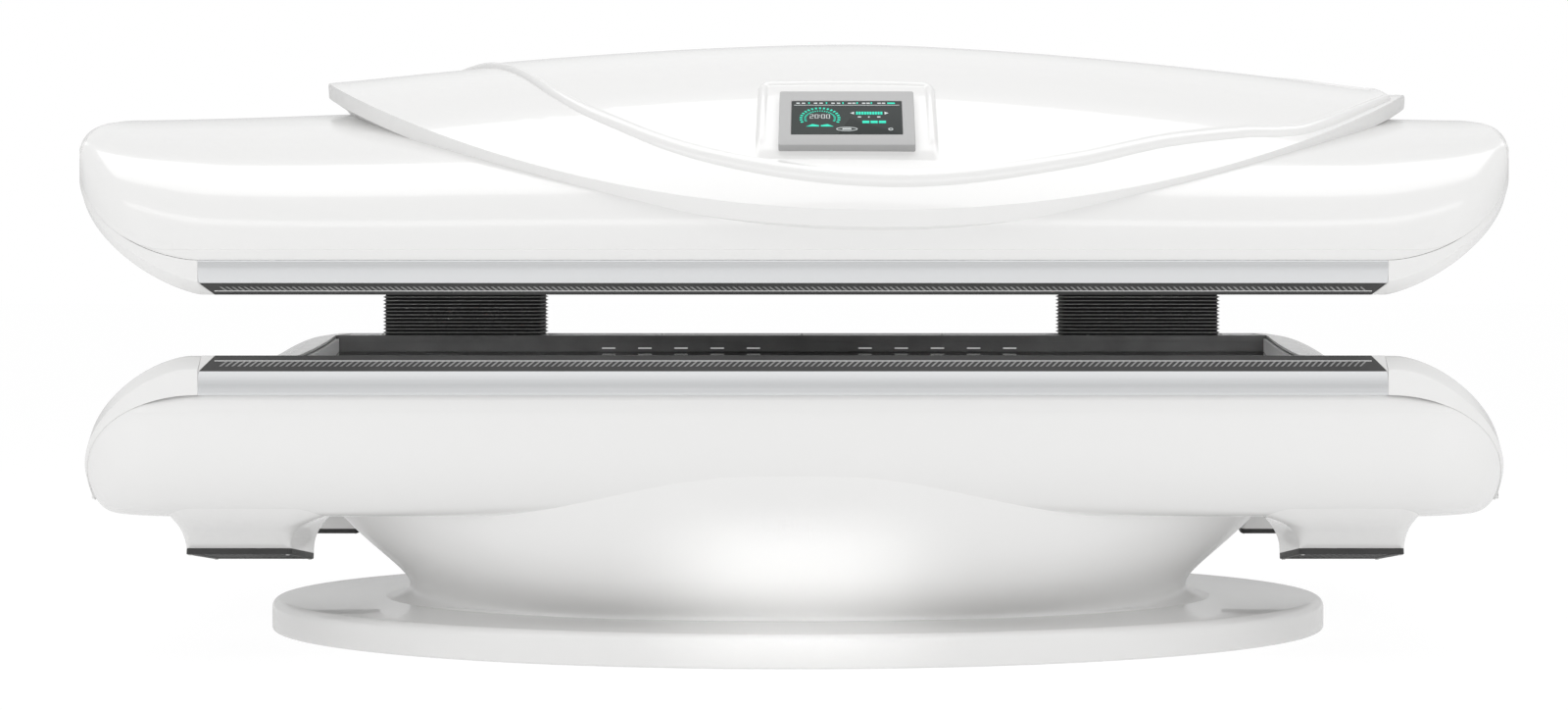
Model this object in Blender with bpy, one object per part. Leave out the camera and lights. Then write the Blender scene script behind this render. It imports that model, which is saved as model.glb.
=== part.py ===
"""Red light therapy bed: a lying tub on a pedestal and a canopy that two columns lift.

Metres, +Z up, +X along the bed, the user's side at -Y, origin on the floor under the middle.
"""

from collections import namedtuple
from math import asin
from math import atan2
from math import copysign
from math import cos
from math import pi
from math import radians
from math import sin
from math import sqrt
from math import tan

import bmesh
import bpy
from mathutils import Matrix
from mathutils import Vector

# Fits shared by all pieces
SEAT_GAP = 0.0003
SLIDE_GAP = 0.0006
CUT_REACH = 0.05

# Plan of the two shells
HALF_LENGTH = 1.092
HALF_WIDTH = 0.56
PLAN_CORNER = 0.16
CAP_LENGTH = 0.217
REAR_SHELF = 0.16
SHELL_WALL = 0.008
CAP_WALL = 0.006

# Rim profile shared by rails and end caps
BEVEL_WIDTH = 0.02
BEVEL_SHARE = 0.6
CAP_PAST_SHARE = 0.9
RAIL_WIDTH = 0.026
STRIP_THICKNESS = 0.004

# Plinth and pedestal
PLINTH_LENGTH = 1.785
PLINTH_DEPTH = 0.90
PLINTH_HEIGHT = 0.052
PLINTH_EDGE = 0.007
PEDESTAL_FOOT_INSET = (0.3255, 0.21)
PEDESTAL_HEAD_INSET = (0.065, 0.025)
PEDESTAL_FLARE = 0.7
PEDESTAL_SKIRT = (0.03, 0.06)
PEDESTAL_SKIRT_POWER = 3
PEDESTAL_WALL = 0.008
SUPPORT_SIZE = (0.50, 0.24)
SUPPORT_WALL = 0.006

# Bed tub heights
TUB_BOTTOM = 0.23
TUB_DEPTH = 0.25
TUB_FRONT_ROUND = 0.14
TUB_REAR_ROUND = 0.08
TUB_ROUND_HEIGHT = 0.17
TUB_UNDER_RUN = 0.05
TUB_UNDER_RISE = 0.02
SEAM_MARGIN = 0.010
BED_BEVEL = 0.0225
BED_RAIL = 0.035
BED_END_DROP = 0.20
BED_END_RUN = 0.20
BED_END_POWER = 1.6
BED_SEAM_POWER = 2
BED_SCOOP = 0.028

# Canopy heights, counted up from its lower edge
RIM_GAP = 0.09
CANOPY_BEVEL = 0.0175
CANOPY_RAIL = 0.0335
CANOPY_END_RISE = 0.172
CANOPY_END_POWER = 1.4
CANOPY_SEAM_RISE = 0.202
CANOPY_SEAM_POWER = 1.7
CANOPY_CROWN = 0.2605
CANOPY_CROWN_SAG = 0.03
CANOPY_END_ROUND = 0.02
CANOPY_POWER = 2.0
CANOPY_SQUARE = 0.7
CANOPY_SQUARE_POWER = 8

# Leaf cover on the canopy
LEAF_LEFT_GAP = 0.307
LEAF_RIGHT_GAP = 0.077
LEAF_LIP_ABOVE_SEAM = 0.049
LEAF_LIP_DROP = 0.216
LEAF_LIP_POWER = 2.08
LEAF_LIP_TILT = 0.0083
LEAF_LIP_HEIGHT = 0.025
LEAF_OVERHANG = 0.012
LEAF_CROWN = 0.097
LEAF_TIP_FALL = 0.0716
LEAF_TIP_POWER = 1.61
LEAF_TILT = 0.0122
LEAF_POWER = 2.2
LEAF_WALL = 0.006
LEAF_INSET = 0.01
LEAF_PLAN_POWER = 2.2
LEAF_TIP_BLUNT = 1.004
LEAF_TIP_ROUND = 0.006
PANEL_THICKNESS = 0.007
PANEL_END = 0.94
LEAF_TIP_STATIONS = (0.81, 0.885, PANEL_END, 0.965, 0.98, 0.992)
STATION_GAP = 0.02
# Edge of the raised panel as (place along the leaf, place across it), both from -1 to 1
PANEL_EDGE = (
    (-1.00, 0.62), (-0.88, 0.42), (-0.78, 0.10), (-0.68, -0.296), (-0.553, -0.668), (-0.408, -0.829),
    (-0.241, -0.906), (0.05, -0.9435), (0.343, -0.913), (0.51, -0.8805), (0.643, -0.90), (0.71, -0.945),
    (0.76, -0.972), (0.86, -0.96), (1.0, -0.92),
)

# Screen on the leaf
SCREEN_X = 0.08
SCREEN_ACROSS = -0.78
SURROUND_SIZE = (0.27, 0.1755)
SURROUND_UP_SHIFT = 0.01725
SURROUND_PROUD = 0.008
SURROUND_DEPTH = 0.034
BEZEL_SIZE = (0.206, 0.139)
BEZEL_THICKNESS = 0.012
GLASS_SIZE = (0.172, 0.092)
GLASS_UP_SHIFT = 0.003
GLASS_THICKNESS = 0.004

# Lying sheet, canopy sheet, light boards and frames
SHEET_THICKNESS = 0.006
SHEET_BELOW_RIM = 0.03
TROUGH_SAG = 0.055
ARCH_RISE = 0.17
BOARD_THICKNESS = 0.008
BOARD_DROP = 0.03
BOARD_LIFT = 0.05
# Light boards as (name, start, end): places across the trough, and degrees along the arch
BED_BOARDS = (("front", -0.92, -0.36), ("centre", -0.34, 0.34), ("rear", 0.36, 0.92))
CANOPY_BOARDS = (("front", 25, 62), ("top", 64, 116), ("rear", 118, 155))
RIB_INSET = 0.115
RIB_THICKNESS = 0.008
RIB_HEIGHT = 0.045
RIB_REACH = 0.72
BEAM_HEIGHT = 0.04
FRAME_RAIL = (0.04, 0.05)
FRAME_WALL = 0.003
FRAME_RAIL_Y = 0.22
END_WALL = 0.006
DECK_THICKNESS = 0.006
DECK_BELOW_RIM = 0.002
INNER_PANEL = 0.005
INNER_PANEL_HEIGHT = 0.05

# Lift columns and bellows
COLUMN_INSET = 0.235
COLUMN_OUTER = (0.12, 0.07)
COLUMN_WALL = 0.003
COLUMN_FOOT_LIFT = 0.012
COLUMN_OUTER_LENGTH = 0.215
COLUMN_MIDDLE_BASE = 0.04
COLUMN_MIDDLE_LENGTH = 0.245
COLUMN_INNER_BASE = 0.06
DECK_HOLE_MARGIN = 0.004
BELLOWS_SIZE = (0.304, 0.120)
BELLOWS_PLEATS = 14
BELLOWS_PLEAT_DEPTH = 0.012
BELLOWS_CORNER = 0.02
BELLOWS_BORE_WALL = 0.004
MOTOR_SIZE = (0.09, 0.06, 0.10)

# Fan bosses under the tub
BOSS_INSET = (0.005, 0.30)
BOSS_DROP = 0.073
BOSS_TILT = radians(9.7)
BOSS_SIZE = (0.165, 0.170)
BOSS_CORNER = 0.008
BOSS_FLARE = 0.04
BOSS_INNER_FLARE = 0.0625
FAN_RADIUS = 0.062
FAN_WALL = 0.005
FAN_HEIGHT = 0.025
FAN_SEAT = 0.006
FAN_HUB_RADIUS = 0.019
FAN_HUB_HEIGHT = 0.014
FAN_PIN_RADIUS = 0.004
FAN_STRUT = (0.008, 0.004)
FAN_BLADES = 7
FAN_BLADE_PITCH = radians(35)
FAN_BLADE_THICKNESS = 0.002
FAN_BLADE_SHARE = 0.9
FAN_TIP_GAP = 0.002
GRILLE_THICKNESS = 0.009
GRILLE_HOLE = 0.024
GRILLE_PITCH = 0.040
GRILLE_HOLES = 3

# Electrics inside the tub
SUPPLY_SIZE = (0.30, 0.12, 0.06)
SUPPLY_X = -0.33
CONTROLLER_SIZE = (0.22, 0.14, 0.05)
CONTROLLER_X = 0.33
INLET_INSET = (0.155, 0.14)
INLET_BODY = (0.046, 0.026, 0.030)
INLET_FLANGE = (0.062, 0.040, 0.004)

# Sizes that follow from the values above
RAIL_HALF = HALF_LENGTH - CAP_LENGTH
REAR_RIM_Y = HALF_WIDTH - REAR_SHELF
PEDESTAL_FOOT = (PLINTH_LENGTH / 2 - PEDESTAL_FOOT_INSET[0], PLINTH_DEPTH / 2 - PEDESTAL_FOOT_INSET[1])
PEDESTAL_HEAD = (RAIL_HALF - PEDESTAL_HEAD_INSET[0], HALF_WIDTH - PEDESTAL_HEAD_INSET[1])
BOSS_X = RAIL_HALF - BOSS_INSET[0]
BOSS_Y = HALF_WIDTH - BOSS_INSET[1]
INLET_PLACE = (RAIL_HALF - INLET_INSET[0], HALF_WIDTH - INLET_INSET[1])
RIB_X = RAIL_HALF - RIB_INSET
COLUMN_X = RAIL_HALF - COLUMN_INSET
LEAF_CENTRE = (LEAF_LEFT_GAP - LEAF_RIGHT_GAP) / 2
LEAF_HALF = HALF_LENGTH - (LEAF_LEFT_GAP + LEAF_RIGHT_GAP) / 2
RIM = TUB_BOTTOM + TUB_DEPTH
CANOPY_EDGE = RIM + RIM_GAP
CANOPY_SEAM = CANOPY_EDGE + CANOPY_BEVEL + CANOPY_RAIL
# Rim of a shell: heights of its edge and seam along the rails and at the ends, and how their ends round
Shell = namedtuple("Shell", "edge edge_end edge_run edge_power seam seam_end seam_power scoop")
BED = Shell(RIM, RIM - BED_END_DROP, BED_END_RUN, BED_END_POWER,
            RIM - BED_BEVEL - BED_RAIL, TUB_BOTTOM + TUB_UNDER_RISE, BED_SEAM_POWER, BED_SCOOP)
CANOPY = Shell(CANOPY_EDGE, CANOPY_EDGE + CANOPY_END_RISE, CAP_LENGTH, CANOPY_END_POWER,
               CANOPY_SEAM, CANOPY_EDGE + CANOPY_SEAM_RISE, CANOPY_SEAM_POWER, 0.0)
TUB_FLOOR = TUB_BOTTOM + SHELL_WALL
SHEET_FRONT_Y = -(HALF_WIDTH - RAIL_WIDTH - CAP_WALL)
SHEET_CENTRE_Y = (SHEET_FRONT_Y + REAR_RIM_Y) / 2
SHEET_HALF = (REAR_RIM_Y - SHEET_FRONT_Y) / 2 - SEAT_GAP
COLUMN_FOOT = TUB_FLOOR + COLUMN_FOOT_LIFT
COLUMN_Y = (REAR_RIM_Y + HALF_WIDTH - RAIL_WIDTH + INNER_PANEL) / 2
END_STEPS = (0.0, 0.12, 0.28, 0.45, 0.60, 0.74, 0.85, 0.93, 0.98, 1.0)
FINISHES = {
    "white_gloss": ((0.88, 0.88, 0.87), 0.22, 0.0),
    "grey_plastic": ((0.62, 0.63, 0.64), 0.40, 0.0),
    "satin_aluminium": ((0.70, 0.71, 0.72), 0.32, 1.0),
    "dark_mesh": ((0.09, 0.09, 0.10), 0.50, 0.4),
    "black_plastic": ((0.03, 0.03, 0.033), 0.55, 0.0),
    "black_bellows": ((0.02, 0.02, 0.02), 0.75, 0.0),
    "painted_steel": ((0.30, 0.31, 0.33), 0.45, 0.6),
    "bright_steel": ((0.55, 0.56, 0.58), 0.28, 1.0),
    "clear_acrylic": ((0.90, 0.92, 0.93), 0.08, 0.0),
    "light_board": ((0.75, 0.76, 0.74), 0.45, 0.0),
    "screen_glass": ((0.03, 0.04, 0.04), 0.10, 0.0),
}


def clear_scene():
    for old in list(bpy.data.objects):
        bpy.data.objects.remove(old, do_unlink=True)


def collection(name):
    made = bpy.data.collections.new(name)
    bpy.context.scene.collection.children.link(made)
    return made


def finish(name):
    made = bpy.data.materials.get(name)
    if made:
        return made
    colour, roughness, metallic = FINISHES[name]
    made = bpy.data.materials.new(name)
    made.use_nodes = True
    shader = made.node_tree.nodes["Principled BSDF"]
    shader.inputs["Base Color"].default_value = (*colour, 1.0)
    shader.inputs["Roughness"].default_value = roughness
    shader.inputs["Metallic"].default_value = metallic
    made.diffuse_color = (*colour, 1.0)
    return made


def mesh_of(form, name):
    """Turns a bmesh into a mesh with faces outward and sharp edges kept."""
    bmesh.ops.recalc_face_normals(form, faces=form.faces)
    mesh = bpy.data.meshes.new(name)
    form.to_mesh(mesh)
    form.free()
    mesh.shade_smooth()
    mesh.set_sharp_from_angle(angle=radians(32))
    return mesh


def part(name, mesh, look, matrix=Matrix()):
    made = bpy.data.objects.new(name, mesh)
    made.matrix_world = matrix
    PARTS.objects.link(made)
    if not mesh.materials:
        mesh.materials.append(finish(look))
    return made


def cutter(name, mesh, matrix=Matrix()):
    made = bpy.data.objects.new(name, mesh)
    made.matrix_world = matrix
    made.hide_render = True
    made.display_type = "WIRE"
    CUTTERS.objects.link(made)
    return made


def combine(target, tool, operation="DIFFERENCE"):
    modifier = target.modifiers.new(tool.name, "BOOLEAN")
    modifier.operation = operation
    modifier.solver = "EXACT"
    modifier.object = tool


def skin(form, rings, closed):
    """Adds the faces between rings of points, and end faces or a last strip back to the first ring."""
    rows = [[form.verts.new(point) for point in ring] for ring in rings]
    pairs = list(zip(rows, rows[1:]))
    if closed:
        pairs.append((rows[-1], rows[0]))
    else:
        form.faces.new(rows[0])
        form.faces.new(rows[-1])
    for low, high in pairs:
        for at in range(len(low)):
            after = (at + 1) % len(low)
            form.faces.new((low[at], low[after], high[after]))
            form.faces.new((low[at], high[after], high[at]))


def loft(name, rings, closed=False):
    form = bmesh.new()
    skin(form, rings, closed)
    return mesh_of(form, name)


def bar(name, outline, start, end):
    """A straight bar along X with an outline of (y, z) points."""
    return loft(name, [[(x, y, z) for y, z in outline] for x in (start, end)])


def add_box(form, size, matrix):
    made = bmesh.ops.create_cube(form, size=1.0, matrix=matrix @ Matrix.Diagonal((*size, 1.0)))
    return made["verts"]


def box(name, size, centre):
    form = bmesh.new()
    add_box(form, size, Matrix.Translation(centre))
    return mesh_of(form, name)


def add_drum(form, radius, low, high, sides=20):
    place = Matrix.Translation((0, 0, (low + high) / 2))
    bmesh.ops.create_cone(form, cap_ends=True, segments=sides, radius1=radius, radius2=radius,
                          depth=high - low, matrix=place)


def rounded_rectangle(half_x, half_y, corner, steps=2):
    points = []
    for quarter, (sx, sy) in enumerate(((1, 1), (-1, 1), (-1, -1), (1, -1))):
        for step in range(steps + 1):
            angle = (quarter + step / steps) * pi / 2
            x = sx * (half_x - corner) + corner * cos(angle)
            y = sy * (half_y - corner) + corner * sin(angle)
            points.append((x, y))
    return points


def ellipse(half_x, half_y, count=36):
    return [(half_x * cos(2 * pi * i / count), half_y * sin(2 * pi * i / count)) for i in range(count)]


def settled(target):
    """The finished mesh of an object with its modifiers, and the object removed."""
    graph = bpy.context.evaluated_depsgraph_get()
    graph.update()
    mesh = bpy.data.meshes.new_from_object(target.evaluated_get(graph))
    bpy.data.objects.remove(target, do_unlink=True)
    return mesh


# Shared outlines of the shells


def rounding(over, run, power=2):
    """Share of height left on a rounded corner, a distance over past its start."""
    if over <= 0:
        return 1.0
    return max(0.0, 1.0 - min(1.0, over / run) ** power) ** (1.0 / power)


def plan_inset(x):
    over = abs(x) - (HALF_LENGTH - PLAN_CORNER)
    return PLAN_CORNER * (1.0 - rounding(over, PLAN_CORNER))


def edge_share(x, shell):
    return rounding(abs(x) - (HALF_LENGTH - shell.edge_run), shell.edge_run, shell.edge_power)


def edge_height(x, shell):
    return shell.edge_end + (shell.edge - shell.edge_end) * edge_share(x, shell)


def seam_height(x, shell):
    share = rounding(abs(x) - RAIL_HALF, HALF_LENGTH - SEAM_MARGIN - RAIL_HALF, shell.seam_power)
    return shell.seam_end + (shell.seam - shell.seam_end) * share


def tub_under(x):
    over = abs(x) - (HALF_LENGTH - TUB_UNDER_RUN)
    return TUB_BOTTOM + TUB_UNDER_RISE * (1.0 - rounding(over, TUB_UNDER_RUN))


def tub_round(side):
    return TUB_REAR_ROUND if side > 0 else TUB_FRONT_ROUND


def tub_half(x, z, side):
    """Half width of the tub's outside at a height, on the rear (+1) or the front (-1)."""
    drop = (TUB_BOTTOM + TUB_ROUND_HEIGHT - z) / TUB_ROUND_HEIGHT
    round_in = tub_round(side) * (1.0 - rounding(drop, 1.0))
    return HALF_WIDTH - plan_inset(x) - round_in


def tub_below(y):
    """Height of the tub's underside at a place across the bed."""
    side = 1 if y > 0 else -1
    over = abs(y) - (HALF_WIDTH - tub_round(side))
    return TUB_BOTTOM + TUB_ROUND_HEIGHT * (1.0 - rounding(over, tub_round(side)))


def tub_ring(x, top, wall=0.0, steps=8):
    """Closed section of the tub at x, flat on top, drawn in by a wall."""
    at = abs(x) + wall
    low = tub_under(at) + wall
    centre = TUB_BOTTOM + TUB_ROUND_HEIGHT
    tall = centre - low
    start = asin(min(1.0, max(0.0, (centre - top) / tall)))
    ring = []
    for side in (-1, 1):
        wide = tub_round(side) - wall
        base = HALF_WIDTH - plan_inset(at) - tub_round(side)
        half = [(x, side * (base + wide * cos(start)), top)]
        for step in range(1, steps + 1):
            angle = start + (pi / 2 - start) * step / steps
            half.append((x, side * (base + wide * cos(angle)), centre - tall * sin(angle)))
        ring += half if side < 0 else half[::-1]
    return ring


def end_stations(past=0.0):
    """Stations along one end of a shell, shared by the pieces that meet at the seam."""
    span = HALF_LENGTH - SEAM_MARGIN - RAIL_HALF
    stations = [RAIL_HALF + span * step for step in END_STEPS]
    return stations + [HALF_LENGTH - SEAM_MARGIN + past] if past > 0 else stations


def inner_stations(stations, wall):
    """The same stations for a hollow, ended short of the outside by the wall."""
    return [x for x in stations if x < stations[-1] - wall] + [stations[-1] - wall]


def both_ends(stations):
    return sorted({-x for x in stations} | set(stations))


# Plinth and pedestal


def make_plinth():
    half_x, half_y = PLINTH_LENGTH / 2, PLINTH_DEPTH / 2
    levels = ((0.0, PLINTH_EDGE), (PLINTH_EDGE, 0.0), (PLINTH_HEIGHT - PLINTH_EDGE, 0.0),
              (PLINTH_HEIGHT, PLINTH_EDGE))
    rings = [[(x, y, z) for x, y in ellipse(half_x - inset, half_y - inset)] for z, inset in levels]
    part("plinth", loft("plinth", rings), "white_gloss")


def pedestal_rings(wall, steps=9):
    foot = PLINTH_HEIGHT + SEAT_GAP
    rings = []
    for step in range(steps + 1):
        share = step / steps
        flare = share ** PEDESTAL_FLARE
        fade = (1.0 - share) ** PEDESTAL_SKIRT_POWER
        sizes = zip(PEDESTAL_FOOT, PEDESTAL_HEAD, PEDESTAL_SKIRT)
        half = [low + (high - low) * flare + skirt * fade - wall for low, high, skirt in sizes]
        ring = []
        for (x, y), (_, head_y) in zip(ellipse(*half), ellipse(*PEDESTAL_HEAD)):
            head = tub_below(head_y) + PEDESTAL_WALL
            ring.append((x, y, foot + (head - foot) * share))
        rings.append(ring)
    return rings


def make_pedestal():
    rings = pedestal_rings(0.0) + pedestal_rings(PEDESTAL_WALL)[::-1]
    pedestal = part("pedestal", loft("pedestal", rings, closed=True), "white_gloss")
    rings = [tub_ring(x, RIM, -2 * SEAT_GAP) for x in (-RAIL_HALF, RAIL_HALF)]
    combine(pedestal, cutter("tub_form", loft("tub_form", rings)))
    combine(pedestal, boss_tool("boss_clearance", 2 * SEAT_GAP))
    low = PLINTH_HEIGHT + SEAT_GAP
    high = TUB_BOTTOM - SEAT_GAP
    mesh = tube_mesh("pedestal_column", SUPPORT_SIZE, SUPPORT_WALL, low, high)
    part("pedestal_column", mesh, "painted_steel")


# Fan bosses


def boss_places():
    for end, x in (("left", -BOSS_X), ("right", BOSS_X)):
        for row, side in (("front", -1), ("rear", 1)):
            place = Vector((x, side * BOSS_Y, TUB_BOTTOM - BOSS_DROP))
            yield f"{row}_{end}", side, Matrix.Translation(place) @ Matrix.Rotation(side * BOSS_TILT, 4, "X")


def boss_rings(matrix, side, margin, steps=6):
    """Rings of a boss from its pad up, flared wider on the side that faces the pedestal."""
    place = matrix.translation
    rings = []
    for step in range(steps + 1):
        share = step / steps
        swell = 1.0 - sqrt(1.0 - share * share)
        grow = BOSS_FLARE * swell + margin
        inward = copysign((BOSS_INNER_FLARE - BOSS_FLARE) * swell, place.x)
        outline = rounded_rectangle(BOSS_SIZE[0] / 2 + grow, BOSS_SIZE[1] / 2 + grow, BOSS_CORNER + grow)
        ring = []
        for x, y in outline:
            if x * place.x < 0:
                x -= inward
            pad = place.z + side * y * tan(BOSS_TILT)
            ring.append((place.x + x, place.y + y, pad + (TUB_BOTTOM - pad) * share))
        rings.append(ring)
    rings.append([(x, y, TUB_BOTTOM + SHELL_WALL / 2) for x, y, _ in rings[-1]])
    return rings


def boss_tool(name, margin=0.0):
    form = bmesh.new()
    for _, side, matrix in boss_places():
        skin(form, boss_rings(matrix, side, margin), closed=False)
    return cutter(name, mesh_of(form, name))


def bore_tool():
    form = bmesh.new()
    for _, _, matrix in boss_places():
        bore = bmesh.new()
        add_drum(bore, FAN_RADIUS, -CUT_REACH, BOSS_DROP + CUT_REACH)
        bore.transform(matrix)
        spare = bpy.data.meshes.new("bore")
        bore.to_mesh(spare)
        bore.free()
        form.from_mesh(spare)
        bpy.data.meshes.remove(spare)
    place = Matrix.Translation((*INLET_PLACE, TUB_BOTTOM))
    add_box(form, [side + 2 * SEAT_GAP for side in INLET_BODY[:2]] + [CUT_REACH], place)
    return cutter("floor_holes", mesh_of(form, "floor_holes"))


def fan_frame_mesh():
    low = FAN_SEAT
    form = bmesh.new()
    add_drum(form, FAN_RADIUS - SEAT_GAP, low, low + FAN_HEIGHT)
    frame = cutter("fan_frame_blank", mesh_of(form, "fan_frame_blank"))
    form = bmesh.new()
    add_drum(form, FAN_RADIUS - FAN_WALL, low - CUT_REACH, low + FAN_HEIGHT + CUT_REACH)
    combine(frame, cutter("fan_throat", mesh_of(form, "fan_throat")))
    width, height = FAN_STRUT
    form = bmesh.new()
    length = 2 * FAN_RADIUS - FAN_WALL
    add_box(form, (length, width, height), Matrix.Translation((0, 0, low + height / 2)))
    combine(frame, cutter("fan_strut_x", mesh_of(form, "fan_strut_x")), "UNION")
    form = bmesh.new()
    add_box(form, (width, length, height), Matrix.Translation((0, 0, low + height / 2)))
    combine(frame, cutter("fan_strut_y", mesh_of(form, "fan_strut_y")), "UNION")
    form = bmesh.new()
    add_drum(form, FAN_PIN_RADIUS, low + height / 2, low + height + FAN_HUB_HEIGHT, 12)
    combine(frame, cutter("fan_pin", mesh_of(form, "fan_pin")), "UNION")
    return settled(frame)


def fan_rotor_mesh():
    """Rotor about +Z with its hub resting on the struts of the fan frame."""
    low = FAN_SEAT + FAN_STRUT[1] + SEAT_GAP
    form = bmesh.new()
    add_drum(form, FAN_HUB_RADIUS, low, low + FAN_HUB_HEIGHT)
    rotor = cutter("fan_hub", mesh_of(form, "fan_hub"))
    tip = FAN_RADIUS - FAN_WALL - FAN_TIP_GAP
    root = FAN_HUB_RADIUS - FAN_BLADE_THICKNESS
    chord = FAN_HUB_HEIGHT * FAN_BLADE_SHARE / sin(FAN_BLADE_PITCH)
    form = bmesh.new()
    for blade in range(FAN_BLADES):
        turn = Matrix.Rotation(2 * pi * blade / FAN_BLADES, 4, "Z")
        lift = Matrix.Translation(((root + tip) / 2, 0, low + FAN_HUB_HEIGHT / 2))
        pitch = Matrix.Rotation(FAN_BLADE_PITCH, 4, "X")
        add_box(form, (tip - root, min(chord, FAN_HUB_RADIUS), FAN_BLADE_THICKNESS), turn @ lift @ pitch)
    combine(rotor, cutter("fan_blades", mesh_of(form, "fan_blades")), "UNION")
    form = bmesh.new()
    add_drum(form, FAN_PIN_RADIUS + SEAT_GAP, low - CUT_REACH, low + FAN_HUB_HEIGHT + CUT_REACH, 12)
    combine(rotor, cutter("fan_pin_bore", mesh_of(form, "fan_pin_bore")))
    return settled(rotor)


def grille_mesh():
    outline = rounded_rectangle(BOSS_SIZE[0] / 2, BOSS_SIZE[1] / 2, BOSS_CORNER)
    levels = (-SEAT_GAP - GRILLE_THICKNESS, -SEAT_GAP)
    plate = cutter("grille_blank", loft("grille_blank", [[(x, y, z) for x, y in outline] for z in levels]))
    form = bmesh.new()
    first = -GRILLE_PITCH * (GRILLE_HOLES - 1) / 2
    for column in range(GRILLE_HOLES):
        for row in range(GRILLE_HOLES):
            place = (first + column * GRILLE_PITCH, first + row * GRILLE_PITCH, -GRILLE_THICKNESS / 2)
            add_box(form, (GRILLE_HOLE, GRILLE_HOLE, CUT_REACH), Matrix.Translation(place))
    combine(plate, cutter("grille_holes", mesh_of(form, "grille_holes")))
    return settled(plate)


def make_fans():
    frame, rotor, grille = fan_frame_mesh(), fan_rotor_mesh(), grille_mesh()
    for name, _, matrix in boss_places():
        part(f"fan_frame_{name}", frame, "black_plastic", matrix)
        part(f"fan_rotor_{name}", rotor, "black_plastic", matrix)
        part(f"intake_grille_{name}", grille, "black_plastic", matrix)


# Bed shell, caps and rails


def make_tub():
    stations = [0.0] + end_stations()
    rings = [tub_ring(x, seam_height(x, BED)) for x in both_ends(stations)]
    tub = part("bed_tub", loft("bed_tub", rings), "white_gloss")
    combine(tub, boss_tool("boss_forms"), "UNION")
    inside = both_ends(inner_stations(stations, 2 * SHELL_WALL))
    rings = [tub_ring(x, RIM + CUT_REACH, SHELL_WALL) for x in inside]
    combine(tub, cutter("tub_hollow", loft("tub_hollow", rings)))
    combine(tub, bore_tool())


def cap_ring(x, shell, wall, reach):
    """Section of an end cap at x: side walls from the seam to the bevel, then across with a scoop."""
    at = abs(x) + wall
    up = 1 if shell.edge > shell.edge_end else -1
    flat = edge_height(at, shell) - up * wall
    base = seam_height(at, shell) + up * SEAT_GAP
    bevel = min(BEVEL_WIDTH, BEVEL_SHARE * abs(flat - base))
    top = flat - up * bevel
    levels = [base + (top - base) * step / 3 for step in range(4)]
    halves = []
    for side in (-1, 1):
        half = []
        if reach:
            half.append((x, side * (cap_half(at, levels[0], side, up) - wall), base - up * reach))
        half += [(x, side * (cap_half(at, z, side, up) - wall), z) for z in levels]
        half.append((x, side * (cap_half(at, top, side, up) - wall - BEVEL_WIDTH), flat))
        halves.append(half)
    front, rear = halves
    across = []
    if shell.scoop:
        deep = shell.scoop * edge_share(at, shell)
        across = scoop(x, flat, deep, front[-1][1], min(REAR_RIM_Y, rear[-1][1] - BEVEL_WIDTH))
    return front + across + rear[::-1]


def scoop(x, flat, deep, start, end, steps=8):
    """Points of a shallow dip across the top of a cap, after its start."""
    points = []
    for step in range(1, steps + 1):
        across = 2 * step / steps - 1
        points.append((x, start + (end - start) * step / steps, flat - deep * (1 - across * across)))
    return points


def cap_half(x, z, side, up):
    return tub_half(x, z, side) if up > 0 else HALF_WIDTH - plan_inset(x)


def make_end_caps(name, shell):
    stations = end_stations(past=CAP_PAST_SHARE * SEAM_MARGIN)
    stations[0] += SEAT_GAP
    outside = [cap_ring(x, shell, 0.0, 0.0) for x in stations]
    stations = inner_stations(stations, SEAM_MARGIN + 2 * CAP_WALL)
    stations[0] -= 2 * CAP_WALL
    inside = [cap_ring(x, shell, CAP_WALL, CUT_REACH) for x in stations]
    for end, turn in (("left", -1), ("right", 1)):
        flip = [[(turn * x, y, z) for x, y, z in ring] for ring in outside]
        cap = part(f"{name}_{end}", loft(f"{name}_{end}", flip), "white_gloss")
        flip = [[(turn * x, y, z) for x, y, z in ring] for ring in inside]
        hollow = f"{name}_{end}_hollow"
        combine(cap, cutter(hollow, loft(hollow, flip)))


def rail_outlines(side, edge, up, bevel, height):
    """Outlines of a rim rail and of the strip on its bevel, at the front (-1) or rear (+1)."""
    outer = side * HALF_WIDTH
    inner = side * (HALF_WIDTH - RAIL_WIDTH)
    ridge = edge - up * bevel
    foot = ridge - up * height + up * SEAT_GAP
    lip = side * (HALF_WIDTH - BEVEL_WIDTH)
    strip_end = lip - side * STRIP_THICKNESS
    strip = [(outer, ridge + up * SEAT_GAP), (lip, edge), (strip_end, edge),
             (outer - side * STRIP_THICKNESS, ridge + up * SEAT_GAP)]
    back = outer - side * (STRIP_THICKNESS + SEAT_GAP)
    rail = [(outer, foot), (outer, ridge), (back, ridge), (strip_end - side * SEAT_GAP, edge),
            (inner, edge), (inner, foot)]
    return rail, strip


def make_rails(name, edge, up, bevel, height):
    for end, side in (("front", -1), ("rear", 1)):
        rail, strip = rail_outlines(side, edge, up, bevel, height)
        if side > 0:
            rail = [rail[0], rail[1], strip[1]] + rail[4:]
        part(f"{name}_rail_{end}", bar(f"{name}_rail_{end}", rail, -RAIL_HALF, RAIL_HALF), "satin_aluminium")
        if side < 0:
            mesh = bar(f"{name}_mesh_strip_{end}", strip, -RAIL_HALF, RAIL_HALF)
            part(f"{name}_mesh_strip_{end}", mesh, "dark_mesh")


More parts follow.
